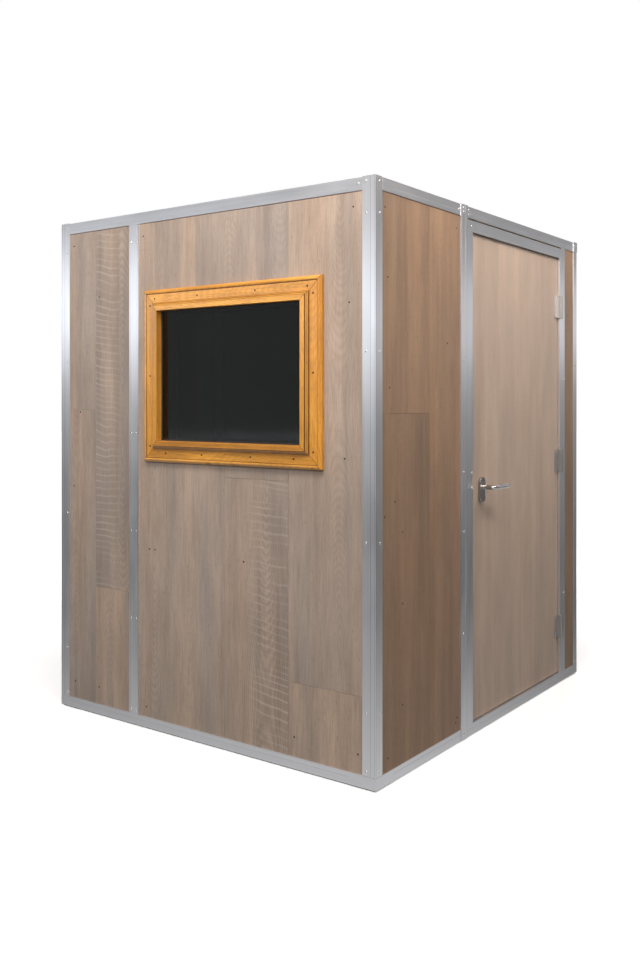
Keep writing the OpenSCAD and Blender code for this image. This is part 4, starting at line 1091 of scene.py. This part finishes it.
# %% Lay the floor
FLOOR_R = 40
GLOW_FROM_TO = (1.5, 5.0)
GLOW_NEAR = 0.25
bpy.ops.mesh.primitive_circle_add(vertices=96, radius=FLOOR_R, fill_type="NGON")
floor = bpy.context.object
floor.name = "studio_floor"
floor_shader = matt("studio_floor", (0.90, 0.90, 0.90, 1.0), (0.87, 0.87, 0.87, 1.0), 0.5, 20 * MM,
                    0.8, 0.02)
floor_material = FINISH["studio_floor"]
floor_tree = floor_material.node_tree
floor_place = add(floor_tree, "ShaderNodeTexCoord", {}, {}).outputs["Object"]
far_off = add(floor_tree, "ShaderNodeVectorMath", {"operation": "LENGTH"},
              {0: floor_place}).outputs["Value"]
glow = span(floor_tree, far_off, *GLOW_FROM_TO, GLOW_NEAR, 1.0)
floor_tree.links.new(glow, floor_shader.inputs["Emission Strength"])
floor_shader.inputs["Emission Color"].default_value = WHITE
floor.data.materials.append(floor_material)
floor.visible_diffuse = False
floor.visible_glossy = False
print(f"floor of {2 * FLOOR_R} m across")

# %% [markdown]
# ## The air
#
# Bare metal shows whatever is round it, so the air is a gradient made for the profiles: bright
# underfoot, dark just below the horizon, lighter at the horizon and quiet overhead. Seen by the
# lens itself it is plain white. The bright ground only shows as a mirror image, so the metal
# gets its light feet while the boards stay in soft shade.

# %% Fill the air
# Between these heights of a line of sight, -1 straight down to 1 straight up, the light changes.
GROUND = (-0.35, -0.25)
LOW_AIR = (-0.19, -0.03)
HIGH_AIR = (0.10, 0.60)
UNDERFOOT = 0.80
DIM_BAND = 0.04
HORIZON = 0.29
ZENITH = 0.14
air = bpy.data.worlds.new("studio_air")
bpy.context.scene.world = air
air.use_nodes = True
air_tree = air.node_tree
background = air_tree.nodes["Background"]
where = add(air_tree, "ShaderNodeTexCoord", {}, {}).outputs["Generated"]
height = add(air_tree, "ShaderNodeSeparateXYZ", {}, {0: where}).outputs[2]
ray = add(air_tree, "ShaderNodeLightPath", {}, {}).outputs
below = span(air_tree, height, *GROUND, UNDERFOOT - DIM_BAND, 0.0)
below = calc(air_tree, "MULTIPLY", below, ray["Is Glossy Ray"])
around = span(air_tree, height, *LOW_AIR, DIM_BAND, HORIZON)
above = span(air_tree, height, *HIGH_AIR, 0.0, ZENITH - HORIZON)
lit = calc(air_tree, "ADD", calc(air_tree, "ADD", below, around), above)
choice = {0: ray["Is Camera Ray"], 2: lit, 3: 1.0}
level = add(air_tree, "ShaderNodeMix", {"data_type": "FLOAT"}, choice).outputs[0]
background.inputs["Color"].default_value = WHITE
air_tree.links.new(level, background.inputs["Strength"])
print(f"air from {UNDERFOOT} underfoot to {ZENITH} overhead")

# %% [markdown]
# ## The lamps
#
# A booth this tall needs light that fades from top to bottom, or its walls look painted. So the
# soft panels hang high: warm ones light the walls, a cool wide one gives the window side's metal
# its bright middle, and weaker ones look after the roof, the back and the left side. The window
# panes would mirror the cool one as a hard white bar, so they are left out of its light.

# %% Hang the panels
def soft_panel(name, place, aim, width, tall, watts, tint):
    """A rectangular lamp that the lens itself doesn't see."""
    data = bpy.data.lights.new(name, "AREA")
    data.shape = "RECTANGLE"
    data.size = width
    data.size_y = tall
    data.energy = watts
    data.color = tint
    lamp = bpy.data.objects.new(name, data)
    lamp.location = place
    lamp.rotation_euler = (Vector(aim) - Vector(place)).to_track_quat("-Z", "Y").to_euler()
    lamp.visible_camera = False
    bpy.context.scene.collection.objects.link(lamp)
    return lamp


COOL = (0.90, 0.94, 1.0)
NEUTRAL = (0.97, 0.97, 1.0)
WARM = (1.0, 0.93, 0.87)
front = soft_panel("window_side", (-2.6, -4.6, 2.2), (0.0, -0.9, 1.7), 5.0, 0.7, 27, COOL)
soft_panel("window_high", (0.9, -2.6, 3.9), (0.2, -0.9, 1.9), 3.0, 0.8, 100, WARM)
soft_panel("window_front", (2.4, -5.2, 3.4), (0.2, -0.9, 1.9), 3.0, 1.2, 98, WARM)
soft_panel("door_side", (3.4, 3.6, 2.1), (0.9, 0.4, 1.7), 4.5, 0.7, 7, NEUTRAL)
soft_panel("door_high", (2.3, 0.0, 3.6), (0.9, 0.0, 1.8), 3.0, 0.8, 62, WARM)
soft_panel("overhead", (0.0, 0.0, 5.2), (0.0, 0.0, 0.0), 4.0, 4.0, 50, NEUTRAL)
soft_panel("back_side", (-1.0, 4.4, 2.6), (-0.2, 0.9, 1.6), 4.0, 1.2, 60, NEUTRAL)
soft_panel("left_side", (-4.4, 0.4, 2.6), (-0.9, 0.0, 1.6), 4.0, 1.2, 50, NEUTRAL)
spared = bpy.data.collections.new("spared_panes")
for pane in panes:
    spared.objects.link(pane)
for entry in spared.collection_objects:
    entry.light_linking.link_state = "EXCLUDE"
front.light_linking.receiver_collection = spared
print(f"{len(bpy.data.lights)} soft panels")

# %% [markdown]
# ## The lens
#
# The lens stands at a tall person's chest and looks level, so the uprights stay upright. A level
# lens puts the horizon in the middle of the frame and the booth's foot close to its lower edge, so
# the lens is shifted down a little, as an architect's camera would be.

# %% Set up the lens
LENS_PLACE = Vector((2.735, -3.8645, 1.397))
LENS_TURN = math.radians(36.07)
LENS_LENGTH = 36.6
LENS_SHIFT = -0.0834
lens = bpy.data.cameras.new("lens")
lens.lens = LENS_LENGTH
lens.sensor_width = 36.0
lens.shift_y = LENS_SHIFT
camera = bpy.data.objects.new("camera", lens)
camera.location = LENS_PLACE
camera.rotation_euler = (math.radians(90), 0, LENS_TURN)
bpy.context.scene.collection.objects.link(camera)
bpy.context.scene.camera = camera
bpy.context.scene.view_settings.view_transform = "Standard"
distance = (LENS_PLACE.xy - Vector((cad_high.x, cad_low.y))).length
print(f"the lens stands {distance:.2f} m from the nearest corner")
